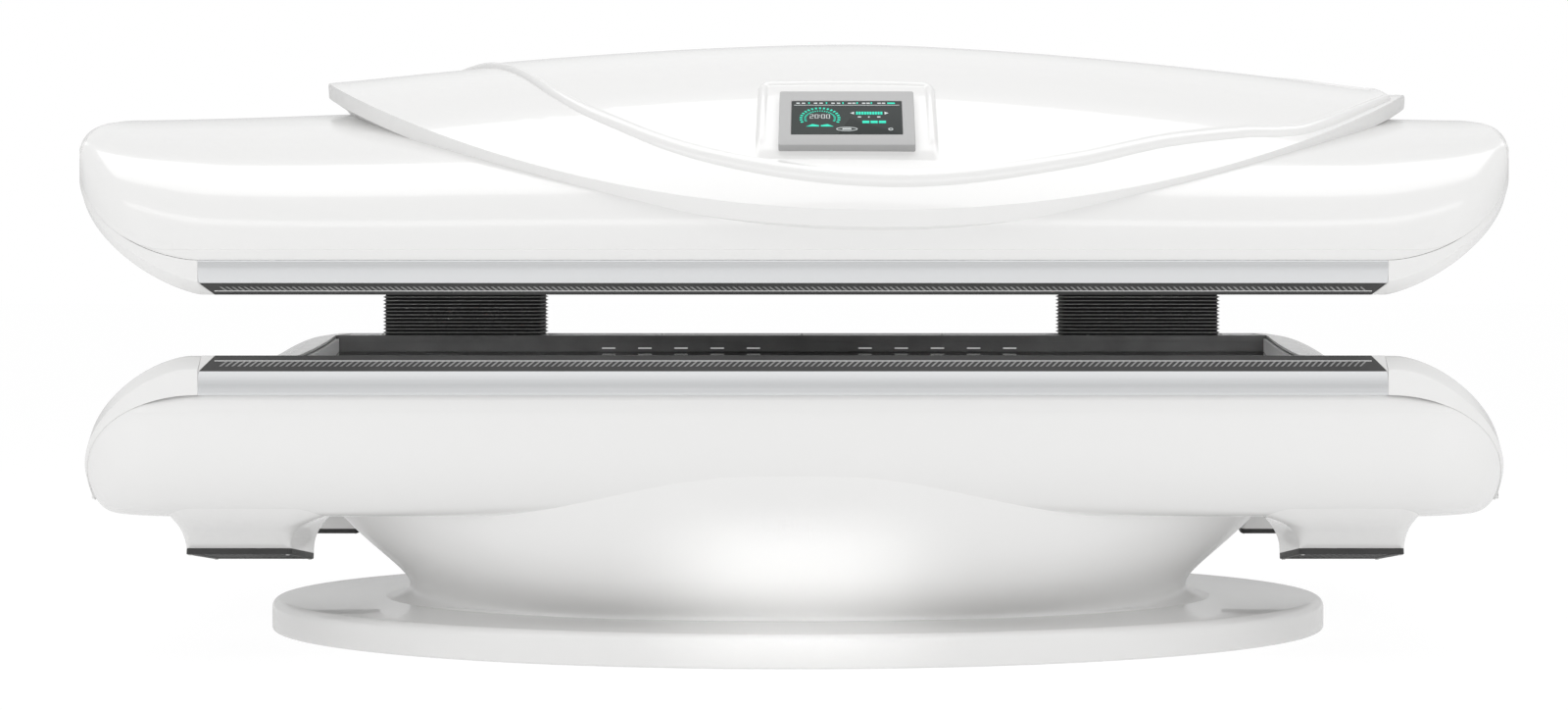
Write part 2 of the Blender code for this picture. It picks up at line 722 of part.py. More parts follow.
def deck_mesh(name, low):
    front = REAR_RIM_Y + INNER_PANEL + SEAT_GAP
    rear = HALF_WIDTH - RAIL_WIDTH - SEAT_GAP
    length = 2 * (RAIL_HALF - SEAT_GAP)
    size = (length, rear - front, DECK_THICKNESS)
    plate = cutter(f"{name}_blank", box(name, size, (0, (front + rear) / 2, low + DECK_THICKNESS / 2)))
    form = bmesh.new()
    hole = [side + 2 * DECK_HOLE_MARGIN for side in COLUMN_OUTER]
    for x in (-COLUMN_X, COLUMN_X):
        add_box(form, (*hole, CUT_REACH), Matrix.Translation((x, COLUMN_Y, low)))
    combine(plate, cutter(f"{name}_holes", mesh_of(form, f"{name}_holes")))
    return settled(plate)


def make_bed_trim():
    deck = RIM - DECK_BELOW_RIM - DECK_THICKNESS
    part("bed_rear_deck", deck_mesh("bed_rear_deck", deck), "white_gloss")
    size = (2 * (RAIL_HALF - SEAT_GAP), INNER_PANEL, INNER_PANEL_HEIGHT)
    centre = (0, REAR_RIM_Y + INNER_PANEL / 2, RIM - INNER_PANEL_HEIGHT / 2)
    part("bed_rear_inner_panel", box("bed_rear_inner_panel", size, centre), "dark_mesh")
    top = RIM - CAP_WALL - SEAT_GAP
    outline = [(y, z - BOARD_DROP) for y, z in trough(-1, 1)]
    front, rear = SHEET_FRONT_Y, REAR_RIM_Y - SEAT_GAP
    edge = [(y, z) for _, y, z in scoop(0, top, BED_SCOOP, front, rear)]
    outline = [(front, top)] + outline + edge[::-1]
    for end, turn in (("left", -1), ("right", 1)):
        near, far = turn * (RAIL_HALF - END_WALL), turn * (RAIL_HALF - SEAT_GAP)
        part(f"bed_end_wall_{end}", bar(f"bed_end_wall_{end}", outline, near, far), "grey_plastic")


# Lying sheet, boards and frame of the bed


def trough(start, end, steps=10):
    """Points on top of the lying sheet, between two places across it from -1 to 1."""
    points = []
    for step in range(steps + 1):
        across = start + (end - start) * step / steps
        sag = TROUGH_SAG * (1.0 - across * across)
        points.append((SHEET_CENTRE_Y + SHEET_HALF * across, RIM - SHEET_BELOW_RIM - sag))
    return points


def make_bed_inside():
    sheet = trough(-1, 1)
    outline = sheet + [(y, z - SHEET_THICKNESS) for y, z in reversed(sheet)]
    reach = RAIL_HALF - END_WALL - SEAT_GAP
    part("bed_acrylic", bar("bed_acrylic", outline, -reach, reach), "clear_acrylic")
    reach = RIB_X - SEAT_GAP
    for name, start, end in BED_BOARDS:
        chord = [(y, z - BOARD_DROP) for y, z in trough(start, end, 1)]
        outline = chord + [(y, z - BOARD_THICKNESS) for y, z in reversed(chord)]
        part(f"bed_led_board_{name}", bar(f"bed_led_board_{name}", outline, -reach, reach), "light_board")
    make_bed_frame()


def make_bed_frame():
    low = TUB_FLOOR + SEAT_GAP
    outline = [(y, z - SHEET_THICKNESS - SEAT_GAP) for y, z in trough(-RIB_REACH, RIB_REACH)]
    outline += [(outline[-1][0], low), (-(HALF_WIDTH - TUB_FRONT_ROUND), low)]
    frame = part("bed_frame", bar("bed_frame", outline, RIB_X, RIB_X + RIB_THICKNESS), "painted_steel")
    mesh = bar("frame_rib_left", outline, -RIB_X - RIB_THICKNESS, -RIB_X)
    combine(frame, cutter("frame_rib_left", mesh), "UNION")
    width, height = FRAME_RAIL
    rails = []
    for y in (-FRAME_RAIL_Y, FRAME_RAIL_Y):
        rails.append(((0, SHEET_CENTRE_Y + y, low + height / 2), width, height))
    add_tubes(frame, "frame_rails", rails)


def add_tubes(frame, name, tubes):
    """Joins square tubes along X to both ribs of a frame and opens their bores."""
    length = 2 * RIB_X + RIB_THICKNESS
    solid, bore = bmesh.new(), bmesh.new()
    for centre, width, height in tubes:
        place = Matrix.Translation(centre)
        add_box(solid, (length, width, height), place)
        add_box(bore, (length + CUT_REACH, width - 2 * FRAME_WALL, height - 2 * FRAME_WALL), place)
    combine(frame, cutter(name, mesh_of(solid, name)), "UNION")
    combine(frame, cutter(f"{name}_bores", mesh_of(bore, f"{name}_bores")))


def make_electrics():
    floor = TUB_FLOOR + SEAT_GAP
    centre = (SUPPLY_X, SHEET_CENTRE_Y, floor + SUPPLY_SIZE[2] / 2)
    part("power_supply", box("power_supply", SUPPLY_SIZE, centre), "bright_steel")
    centre = (CONTROLLER_X, SHEET_CENTRE_Y, floor + CONTROLLER_SIZE[2] / 2)
    part("controller", box("controller", CONTROLLER_SIZE, centre), "black_plastic")
    form = bmesh.new()
    high = TUB_BOTTOM - SEAT_GAP
    place = Matrix.Translation((*INLET_PLACE, high - INLET_FLANGE[2] / 2))
    add_box(form, INLET_FLANGE, place)
    inlet = part("power_inlet", mesh_of(form, "power_inlet"), "black_plastic")
    low = high - INLET_FLANGE[2] / 2
    body = box("inlet_body", INLET_BODY, (*INLET_PLACE, low + INLET_BODY[2] / 2))
    combine(inlet, cutter("inlet_body", body), "UNION")


# Lift columns


def tube_mesh(name, size, wall, low, high):
    outer = [(-1, -1), (1, -1), (1, 1), (-1, 1)]
    rings = []
    for inset, z in ((0, low), (0, high), (wall, high), (wall, low)):
        rings.append([(sx * (size[0] / 2 - inset), sy * (size[1] / 2 - inset), z) for sx, sy in outer])
    return loft(name, rings, closed=True)


def bellows_mesh(low, high):
    """Pleats as rings that step in and out, with a plain bore."""
    rings = []
    rows = 2 * BELLOWS_PLEATS
    half_x, half_y = BELLOWS_SIZE[0] / 2, BELLOWS_SIZE[1] / 2
    for row in range(rows + 1):
        inset = BELLOWS_PLEAT_DEPTH if row % 2 else 0.0
        outline = rounded_rectangle(half_x - inset, half_y - inset, BELLOWS_CORNER - inset)
        rings.append([(x, y, low + (high - low) * row / rows) for x, y in outline])
    inset = BELLOWS_PLEAT_DEPTH + BELLOWS_BORE_WALL
    bore = rounded_rectangle(half_x - inset, half_y - inset, BELLOWS_CORNER / 4)
    rings.append([(x, y, high) for x, y in bore])
    rings.append([(x, y, low) for x, y in bore])
    return loft("bellows", rings, closed=True)


def make_lift():
    step = 2 * (COLUMN_WALL + SLIDE_GAP)
    middle = [side - step for side in COLUMN_OUTER]
    inner = [side - step for side in middle]
    foot = COLUMN_FOOT
    beam = CANOPY_EDGE + SHEET_BELOW_RIM
    outer_tube = tube_mesh("column_outer", COLUMN_OUTER, COLUMN_WALL, foot, foot + COLUMN_OUTER_LENGTH)
    low = foot + COLUMN_MIDDLE_BASE
    middle_tube = tube_mesh("column_middle", middle, COLUMN_WALL, low, low + COLUMN_MIDDLE_LENGTH)
    inner_tube = tube_mesh("column_inner", inner, COLUMN_WALL, foot + COLUMN_INNER_BASE, beam - SEAT_GAP)
    pleats = bellows_mesh(RIM - DECK_BELOW_RIM + SEAT_GAP, CANOPY_EDGE + DECK_BELOW_RIM - SEAT_GAP)
    for end, turn in (("left", -1), ("right", 1)):
        place = Matrix.Translation((turn * COLUMN_X, COLUMN_Y, 0))
        part(f"column_outer_{end}", outer_tube, "painted_steel", place)
        part(f"column_middle_{end}", middle_tube, "bright_steel", place)
        part(f"column_inner_{end}", inner_tube, "bright_steel", place)
        part(f"bellows_{end}", pleats, "black_bellows", place)
        x = turn * (COLUMN_X - COLUMN_OUTER[0] / 2 - SEAT_GAP - MOTOR_SIZE[0] / 2)
        centre = (x, COLUMN_Y - COLUMN_OUTER[1] / 2, foot + MOTOR_SIZE[2] / 2)
        part(f"lift_motor_{end}", box(f"lift_motor_{end}", MOTOR_SIZE, centre), "black_plastic")


# Canopy shell


def cover_rise(x):
    return CANOPY_CROWN - CANOPY_CROWN_SAG * (x / HALF_LENGTH) ** 2


def cover_power(x):
    """How square the cover's section is: an ellipse along the middle, squarer at the ends."""
    return CANOPY_POWER + CANOPY_SQUARE * min(1.0, abs(x) / HALF_LENGTH) ** CANOPY_SQUARE_POWER


def cover_ring(x, wall=0.0, reach=0.0, steps=20):
    at = abs(x) + wall
    base = seam_height(at, CANOPY) + SEAT_GAP
    fall = CANOPY_END_ROUND * (1.0 - rounding(at - (HALF_LENGTH - CANOPY_END_ROUND), CANOPY_END_ROUND))
    top = CANOPY_SEAM + cover_rise(at) - fall - wall
    half = HALF_WIDTH - plan_inset(at) - wall
    power = 2 / cover_power(at)
    ring = []
    if reach:
        ring.append((x, -half, base - reach))
    for step in range(steps + 1):
        angle = -pi / 2 + pi * step / steps
        across = copysign(abs(sin(angle)) ** power, angle)
        ring.append((x, half * across, base + (top - base) * max(0.0, cos(angle)) ** power))
    if reach:
        ring.append((x, half, base - reach))
    return ring


def cover_stations():
    return [0.0, RAIL_HALF / 3, 2 * RAIL_HALF / 3] + end_stations(past=SEAM_MARGIN / 2)


def make_cover():
    stations = cover_stations()
    rings = [cover_ring(x) for x in both_ends(stations)]
    cover = part("canopy_cover", loft("canopy_cover", rings), "white_gloss")
    inside = both_ends(inner_stations(stations, 2 * SHELL_WALL))
    rings = [cover_ring(x, SHELL_WALL, CUT_REACH) for x in inside]
    combine(cover, cutter("cover_hollow", loft("cover_hollow", rings)))


def arch(wide, tall, start, end, steps=16):
    """Points on an arch over the lying space, by angle from the front foot in degrees."""
    base = CANOPY_EDGE + SHEET_BELOW_RIM
    points = []
    for step in range(steps + 1):
        angle = radians(start + (end - start) * step / steps)
        y = SHEET_CENTRE_Y - (SHEET_HALF + wide) * cos(angle)
        points.append((y, base + (ARCH_RISE + tall) * sin(angle)))
    return points


def make_canopy_inside():
    sheet = arch(-SHEET_THICKNESS, 0.0, 0, 180)
    outline = sheet + arch(0.0, SHEET_THICKNESS, 180, 0)
    reach = RAIL_HALF - SEAT_GAP
    part("canopy_acrylic", bar("canopy_acrylic", outline, -reach, reach), "clear_acrylic")
    reach = RIB_X - SEAT_GAP
    for name, start, end in CANOPY_BOARDS:
        chord = arch(0.0, BOARD_LIFT, start, end, 1)
        outline = chord + arch(0.0, BOARD_LIFT + BOARD_THICKNESS, end, start, 1)
        mesh = bar(f"canopy_led_board_{name}", outline, -reach, reach)
        part(f"canopy_led_board_{name}", mesh, "light_board")
    deck = CANOPY_EDGE + DECK_BELOW_RIM
    part("canopy_rear_deck", deck_mesh("canopy_rear_deck", deck), "white_gloss")
    make_canopy_frame()


def make_canopy_frame():
    foot = CANOPY_EDGE + SHEET_BELOW_RIM
    rib = arch(2 * SEAT_GAP, SHEET_THICKNESS + 2 * SEAT_GAP, 0, 180)
    outline = rib + arch(SHEET_THICKNESS - SEAT_GAP, RIB_HEIGHT + BOARD_LIFT / 2, 180, 0)
    frame = part("canopy_frame", bar("canopy_frame", outline, RIB_X, RIB_X + RIB_THICKNESS), "painted_steel")
    mesh = bar("canopy_rib_left", outline, -RIB_X - RIB_THICKNESS, -RIB_X)
    combine(frame, cutter("canopy_rib_left", mesh), "UNION")
    front = REAR_RIM_Y + 2 * SEAT_GAP
    rear = HALF_WIDTH - RAIL_WIDTH - SEAT_GAP
    centre = (0, (front + rear) / 2, foot + BEAM_HEIGHT / 2)
    add_tubes(frame, "canopy_beam", [(centre, rear - front, BEAM_HEIGHT)])


# Leaf cover and screen


def leaf_frame(along):
    """x, lip place (y, z), height over the lip and crown height of the leaf at a place along it."""
    x = LEAF_CENTRE + LEAF_HALF * along
    lip = LEAF_LIP_ABOVE_SEAM + LEAF_LIP_DROP * abs(along) ** LEAF_LIP_POWER - LEAF_LIP_TILT * along
    lip_y = (HALF_WIDTH - LEAF_INSET) * rounding(abs(along), LEAF_TIP_BLUNT, LEAF_PLAN_POWER)
    lip_z = CANOPY_SEAM + lip
    crown = CANOPY_SEAM + CANOPY_CROWN + LEAF_CROWN - LEAF_TIP_FALL * abs(along) ** LEAF_TIP_POWER
    crown -= LEAF_TILT * along
    return x, lip_y, lip_z, min(lip_z + LEAF_LIP_HEIGHT, crown - LEAF_TIP_ROUND), crown


def leaf_point(along, across, lift=0.0, inset=0.0):
    x, lip_y, _, low, crown = leaf_frame(along)
    half = lip_y + LEAF_OVERHANG - inset
    return x, half * across, low + (crown - low) * (1.0 - abs(across) ** LEAF_POWER) + lift


def leaf_slope(along, across):
    _, lip_y, _, low, crown = leaf_frame(along)
    fall = (crown - low) * LEAF_POWER * abs(across) ** (LEAF_POWER - 1)
    return atan2(fall, lip_y + LEAF_OVERHANG)


def leaf_ring(along, lift=0.0, steps=14):
    """Section of the leaf, closed by a chord that lies inside the canopy cover."""
    x, lip_y, lip_z, _, _ = leaf_frame(along)
    top = [leaf_point(along, -1 + 2 * step / steps, lift) for step in range(steps + 1)]
    foot = lip_y - 2 * LEAF_OVERHANG
    low = lip_z - 2 * LEAF_LIP_HEIGHT
    return top + [(x, foot, low), (x, -foot, low)]


def leaf_hollow_ring(along, steps=10):
    across = [-1 + 2 * step / steps for step in range(steps + 1)]
    top = [leaf_point(along, place, -LEAF_WALL, LEAF_OVERHANG + 2 * LEAF_WALL) for place in across]
    low = [(x, y, CANOPY_SEAM - CUT_REACH) for x, y, _ in (top[-1], top[0])]
    return top + low


def edge_curve(knots, place):
    """Smooth curve through knots of (place, value)."""
    last = len(knots) - 1
    at = max(0, min(last - 1, sum(1 for knot in knots[1:-1] if knot[0] <= place)))
    (x0, y0), (x1, y1) = knots[at], knots[at + 1]
    before, after = knots[max(0, at - 1)], knots[min(last, at + 2)]
    span = x1 - x0
    start = (y1 - before[1]) / (x1 - before[0]) * span
    end = (after[1] - y0) / (after[0] - x0) * span
    t = (place - x0) / span
    value = y0 * (1 + 2 * t) * (1 - t) ** 2 + start * t * (1 - t) ** 2
    value += y1 * t * t * (3 - 2 * t) + end * t * t * (t - 1)
    return max(-1.0, min(1.0, value))


def panel_ring(along, steps=10):
    front = edge_curve(PANEL_EDGE, along)
    rear = -edge_curve(PANEL_EDGE, -along)
    across = [front + (rear - front) * step / steps for step in range(steps + 1)]
    top = [leaf_point(along, place, PANEL_THICKNESS) for place in across]
    under = [leaf_point(along, place, -PANEL_THICKNESS) for place in reversed(across)]
    return top + under


def screen_matrix():
    along = (SCREEN_X - LEAF_CENTRE) / LEAF_HALF
    x, y, z = leaf_point(along, SCREEN_ACROSS, PANEL_THICKNESS)
    return Matrix.Translation((x, y, z)) @ Matrix.Rotation(leaf_slope(along, SCREEN_ACROSS), 4, "X")


def block(name, size, low, high, matrix, grow=0.0):
    form = bmesh.new()
    place = matrix @ Matrix.Translation((0, 0, (low + high) / 2))
    add_box(form, (size[0] + 2 * grow, size[1] + 2 * grow, high - low), place)
    return mesh_of(form, name)


def make_leaf():
    steps = 26
    stations = sorted([-1 + 2 * step / steps for step in range(steps + 1)] + both_ends(LEAF_TIP_STATIONS))
    leaf = part("leaf_cover", loft("leaf_cover", [leaf_ring(along) for along in stations]), "white_gloss")
    rings = [cover_ring(x, -2 * SEAT_GAP) for x in both_ends(cover_stations())]
    combine(leaf, cutter("cover_form", loft("cover_form", rings)))
    inside = [along * (1 - 2 * LEAF_WALL / LEAF_HALF) for along in stations]
    combine(leaf, cutter("leaf_hollow", loft("leaf_hollow", [leaf_hollow_ring(along) for along in inside])))
    matrix = screen_matrix()
    low = SURROUND_PROUD - SURROUND_DEPTH
    raised = matrix @ Matrix.Translation((0, SURROUND_UP_SHIFT, 0))
    pocket = block("screen_pocket", SURROUND_SIZE, low - CUT_REACH, SURROUND_PROUD, raised, 2 * SEAT_GAP)
    combine(leaf, cutter("screen_pocket", pocket))
    knots = [place for place, _ in PANEL_EDGE[1:-1]]
    places = [place for place in stations if abs(place) <= PANEL_END]
    for place in knots + [-place for place in knots]:
        if all(abs(place - other) > STATION_GAP for other in places) and abs(place) < PANEL_END:
            places.append(place)
    places.sort()
    panel = part("leaf_panel", loft("leaf_panel", [panel_ring(along) for along in places]), "white_gloss")
    rings = [leaf_ring(along, 2 * SEAT_GAP) for along in stations]
    combine(panel, cutter("leaf_form", loft("leaf_form", rings)))
    surround = block("screen_surround", SURROUND_SIZE, low, SURROUND_PROUD, raised)
    combine(panel, cutter("screen_surround", surround), "UNION")
    make_screen(matrix)


def make_screen(matrix):
    low = SURROUND_PROUD + SEAT_GAP
    high = low + BEZEL_THICKNESS
    bezel = part("screen_bezel", block("screen_bezel", BEZEL_SIZE, low, high, matrix), "satin_aluminium")
    shift = matrix @ Matrix.Translation((0, GLASS_UP_SHIFT, 0))
    recess = block("glass_recess", GLASS_SIZE, high - GLASS_THICKNESS, high + CUT_REACH, shift, SEAT_GAP)
    combine(bezel, cutter("glass_recess", recess))
    seat = high - GLASS_THICKNESS + SEAT_GAP
    part("screen_glass", block("screen_glass", GLASS_SIZE, seat, high - SEAT_GAP, shift), "screen_glass")


clear_scene()
PARTS = collection("red_light_therapy_bed")
CUTTERS = collection("cutters")
make_plinth()
make_pedestal()
make_tub()
make_fans()
make_end_caps("bed_end_cap", BED)
make_rails("bed", RIM, 1, BED_BEVEL, BED_RAIL)
make_bed_trim()
make_bed_inside()
make_electrics()
make_lift()
make_cover()
make_end_caps("canopy_end_cap", CANOPY)
make_rails("canopy", CANOPY_EDGE, -1, CANOPY_BEVEL, CANOPY_RAIL)
make_canopy_inside()
make_leaf()
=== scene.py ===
"""Looks of a light therapy bed: smooth shells, rim trim, pleated bellows, light boards and screen."""

from collections import namedtuple
from math import acos, asin, atan2, copysign, cos, pi, radians, sin, sqrt, tan

import bmesh
import bpy
import numpy as np
from mathutils import Matrix, Vector


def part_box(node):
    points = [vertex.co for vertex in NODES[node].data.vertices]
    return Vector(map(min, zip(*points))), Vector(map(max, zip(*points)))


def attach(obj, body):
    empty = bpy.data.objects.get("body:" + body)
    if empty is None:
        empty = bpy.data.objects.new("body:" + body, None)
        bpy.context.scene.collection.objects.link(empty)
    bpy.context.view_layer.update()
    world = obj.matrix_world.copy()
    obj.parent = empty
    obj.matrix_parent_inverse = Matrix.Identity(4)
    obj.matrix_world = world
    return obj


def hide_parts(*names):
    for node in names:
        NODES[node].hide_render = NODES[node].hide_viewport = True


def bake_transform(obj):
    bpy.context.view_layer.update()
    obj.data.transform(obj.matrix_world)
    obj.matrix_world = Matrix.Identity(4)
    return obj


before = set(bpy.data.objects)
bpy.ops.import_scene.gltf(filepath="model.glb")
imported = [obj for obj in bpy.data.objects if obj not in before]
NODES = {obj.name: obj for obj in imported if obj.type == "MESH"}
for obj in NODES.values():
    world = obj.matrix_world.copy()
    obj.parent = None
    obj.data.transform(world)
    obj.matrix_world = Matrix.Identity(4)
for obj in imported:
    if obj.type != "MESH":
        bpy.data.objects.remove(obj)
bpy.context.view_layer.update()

# Sizes in metres
SEAT_GAP = 0.0003
HALF_LENGTH, HALF_WIDTH, PLAN_CORNER = 1.092, 0.56, 0.16
RAIL_HALF, REAR_RIM_Y = 0.875, 0.40
BEVEL_WIDTH, BEVEL_SHARE, RAIL_WIDTH = 0.02, 0.6, 0.026
STRIP_THICKNESS, STRIP_INSET, SEAM_MARGIN = 0.004, 0.003, 0.010
RAIL_PROUD, RAIL_LEAN, RAIL_LEAN_START, RAIL_TUCK, RAIL_TUCK_END = 0.001, 0.0042, 0.25, 0.0012, 0.06
STRIP_END_GAP, GROOVE_INSET, GROOVE_DEPTH = 0.0004, 0.011, 0.0016
PLINTH_LENGTH, PLINTH_DEPTH, PLINTH_HEIGHT = 1.785, 0.90, 0.052
PEDESTAL_FOOT, PEDESTAL_HEAD = (0.570, 0.205), (0.81, 0.545)
PEDESTAL_FLARE, PEDESTAL_SKIRT, PEDESTAL_SKIRT_POWER = 0.7, (0.10, 0.07), (8, 3)
PEDESTAL_BULGE, PEDESTAL_FILLET, PEDESTAL_FILLET_POWER = (0.0, 0.040), 0.035, 30
PEDESTAL_SINK, PEDESTAL_TUCK, PEDESTAL_INTO_TUB = 0.001, -0.02, 0.004
TUB_BOTTOM, RIM = 0.23, 0.48
TUB_FRONT_ROUND, TUB_REAR_ROUND, TUB_ROUND_HEIGHT = 0.14, 0.08, 0.17
TUB_UNDER_RUN, TUB_UNDER_RISE = 0.05, 0.02
SHOULDER_DEPTH, SHOULDER_RUN, SHOULDER_POWER = 0.009, 0.026, 1.4
BED_BEVEL, BED_RAIL = 0.0225, 0.035
CANOPY_EDGE, CANOPY_BEVEL, CANOPY_RAIL = 0.57, 0.0175, 0.0335
CANOPY_SEAM = CANOPY_EDGE + CANOPY_BEVEL + CANOPY_RAIL
CANOPY_CROWN, CANOPY_CROWN_SAG, CANOPY_END_ROUND = 0.2605, 0.03, 0.02
CANOPY_POWER, CANOPY_SQUARE, CANOPY_SQUARE_POWER = 2.0, 0.7, 8
Shell = namedtuple("Shell", "edge edge_end edge_run edge_power seam seam_end seam_power scoop bevel rail")
BED = Shell(RIM, 0.28, 0.20, 1.6, RIM - BED_BEVEL - BED_RAIL, 0.25, 2, 0.028, BED_BEVEL, BED_RAIL)
CANOPY = Shell(CANOPY_EDGE, 0.742, 0.217, 1.4, CANOPY_SEAM, 0.772, 1.7, 0.0, CANOPY_BEVEL, CANOPY_RAIL)
LEAF_CENTRE, LEAF_HALF, LEAF_INSET, LEAF_PLAN_POWER, LEAF_TIP_BLUNT = 0.115, 0.90, 0.01, 2.2, 1.004
LEAF_LIP_ABOVE_SEAM, LEAF_LIP_DROP, LEAF_LIP_POWER, LEAF_LIP_TILT = 0.049, 0.216, 2.08, 0.0083
LEAF_LIP_HEIGHT, LEAF_OVERHANG, LEAF_POWER, LEAF_TIP_ROUND = 0.025, 0.012, 2.2, 0.006
LEAF_CROWN, LEAF_TIP_FALL, LEAF_TIP_POWER, LEAF_TILT = 0.097, 0.0716, 1.61, 0.0122
LEAF_TIP_DROP, LEAF_TIP_START, LEAF_TIP_RUN = 0.007, 0.982, 0.018
PANEL_THICKNESS, PANEL_END, PANEL_SINK, PANEL_BAND = 0.007, 0.94, 0.0015, 0.022
PANEL_ROLL, PANEL_ROLL_PLACE, PANEL_ROLL_HALF = 0.0022, 0.010, 0.009
PANEL_EDGE = (
    (-1.00, 0.62), (-0.88, 0.42), (-0.78, 0.10), (-0.68, -0.296), (-0.553, -0.668), (-0.408, -0.829),
    (-0.241, -0.906), (0.05, -0.9435), (0.343, -0.913), (0.51, -0.8805), (0.643, -0.90), (0.71, -0.945),
    (0.76, -0.972), (0.86, -0.96), (1.0, -0.92),
)
SCREEN_X, SCREEN_ACROSS, SCREEN_SEAT = 0.08, -0.78, (0, 0.0105, -0.008)
SURROUND_PROUD = 0.008
BEZEL_SIZE, BEZEL_THICKNESS = (0.206, 0.139), 0.012
GLASS_SIZE, GLASS_UP_SHIFT, GLASS_THICKNESS = (0.168, 0.086), 0.0005, 0.004
READOUT_THICKNESS = 0.0004
BOSS_X, BOSS_Y, BOSS_DROP, BOSS_TILT = 0.87, 0.26, 0.073, radians(9.7)
BOSS_SIZE, BOSS_CORNER, BOSS_FLARE = (0.165, 0.170), 0.008, 0.008
BOSS_OUTWARD, BOSS_INWARD, BOSS_CORNER_GROWTH, BOSS_INTO_TUB = 0.17, 0.12, 0.03, 0.006
BOSS_END_LEAN, BOSS_END_SWELL = 0.020, 0.014
GRILLE_THICKNESS = 0.009
BELLOWS_SIZE, BELLOWS_CORNER, BELLOWS_PLEATS, BELLOWS_PLEAT_DEPTH = (0.304, 0.120), 0.02, 14, 0.006
SHEET_BELOW_RIM, TROUGH_SAG, ARCH_RISE = 0.03, 0.055, 0.17
SHEET_FRONT_Y = -0.528
SHEET_CENTRE_Y, SHEET_HALF = (SHEET_FRONT_Y + REAR_RIM_Y) / 2, (REAR_RIM_Y - SHEET_FRONT_Y) / 2
BOARD_DROP, BOARD_LIFT, BOARD_HALF = 0.03, 0.05, 0.7597
BED_BOARDS = (("front", -0.92, -0.36), ("centre", -0.34, 0.34), ("rear", 0.36, 0.92))
CANOPY_BOARDS = (("front", 25, 62), ("top", 64, 116), ("rear", 118, 155))
ENDS = (("left", -1), ("right", 1))
SHELL_WALL, BOSS_WALL, COVER_WALL = 0.006, 0.005, 0.004
LEAF_WALL, PLATE_WALL, CLOTH_WALL = 0.003, 0.002, 0.0012
TUB_END_MARGIN, CAP_END_MARGIN, COVER_END_MARGIN = 0.0006, 0.0003, 0.0004


# Mesh making


class Shape:
    """Points and faces of one mesh, added grid by grid."""

    def __init__(self):
        self.points = []
        self.faces = []

    def grid(self, rows, wrap=False, caps=False):
        """Faces between rows of points, each row closed on itself if wrap, and end faces if caps."""
        first = len(self.points)
        width = len(rows[0])
        for row in rows:
            self.points.extend(row)
        for low in range(len(rows) - 1):
            for at in range(width if wrap else width - 1):
                after = (at + 1) % width
                a, b = first + low * width, first + (low + 1) * width
                self.faces.append((a + at, a + after, b + after, b + at))
        if caps:
            self.faces.append(tuple(range(first, first + width))[::-1])
            last = first + (len(rows) - 1) * width
            self.faces.append(tuple(range(last, last + width)))
        return self

    def block(self, low, high, matrix=Matrix()):
        """A plain box between two corners, turned and placed by a matrix."""
        rows = []
        for z in (low[2], high[2]):
            corners = ((low[0], low[1]), (high[0], low[1]), (high[0], high[1]), (low[0], high[1]))
            rows.append([tuple(matrix @ Vector((x, y, z))) for x, y in corners])
        return self.grid(rows, wrap=True, caps=True)

    def mesh(self, name, sharp=40, closed=True):
        mesh = bpy.data.meshes.new(name)
        mesh.from_pydata([tuple(float(v) for v in point) for point in self.points], [], self.faces)
        form = bmesh.new()
        form.from_mesh(mesh)
        bmesh.ops.remove_doubles(form, verts=form.verts, dist=2e-6)
        if closed:
            bmesh.ops.recalc_face_normals(form, faces=form.faces)
        else:
            centre = sum((v.co for v in form.verts), Vector()) / len(form.verts)
            facing = sum(f.calc_area() * f.normal.dot(f.calc_center_median() - centre) for f in form.faces)
            if facing < 0:
                bmesh.ops.reverse_faces(form, faces=form.faces)
        form.to_mesh(mesh)
        form.free()
        mesh.shade_smooth()
        mesh.set_sharp_from_angle(angle=radians(sharp))
        return mesh


def settled(made):
    """The plain mesh of an object with its modifiers applied, and the object removed."""
    graph = bpy.context.evaluated_depsgraph_get()
    graph.update()
    mesh = bpy.data.meshes.new_from_object(made.evaluated_get(graph))
    bpy.data.objects.remove(made, do_unlink=True)
    return mesh


def loose(name, mesh):
    made = bpy.data.objects.new(name, mesh)
    bpy.context.scene.collection.objects.link(made)
    return made


def walled(name, mesh, wall):
    """A shell with its wall grown inward from an open outside surface."""
    made = loose(f"{name}_skin", mesh)
    thicken = made.modifiers.new("wall", "SOLIDIFY")
    thicken.thickness = wall
    thicken.offset = -1
    mesh = settled(made)
    mesh.set_sharp_from_angle(angle=radians(40))
    return mesh


def piece(name, mesh, material, body, stands_for=()):
    made = loose(name, mesh)
    mesh.materials.clear()
    mesh.materials.append(material)
    if body:
        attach(made, body)
    if stands_for:
        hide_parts(*stands_for)
    return made


def solid(name, rings, sharp=40):
    """A closed mesh from its rings, with a face at each end."""
    return Shape().grid(rings, wrap=True, caps=True).mesh(name, sharp)


def shell_piece(name, rows, wall, material, body, stands_for=(), **grid):
    """A white shell whose outside follows rows of points."""
    mesh = Shape().grid(rows, **grid).mesh(name, closed=False)
    return piece(name, walled(name, mesh, wall), material, body, stands_for)


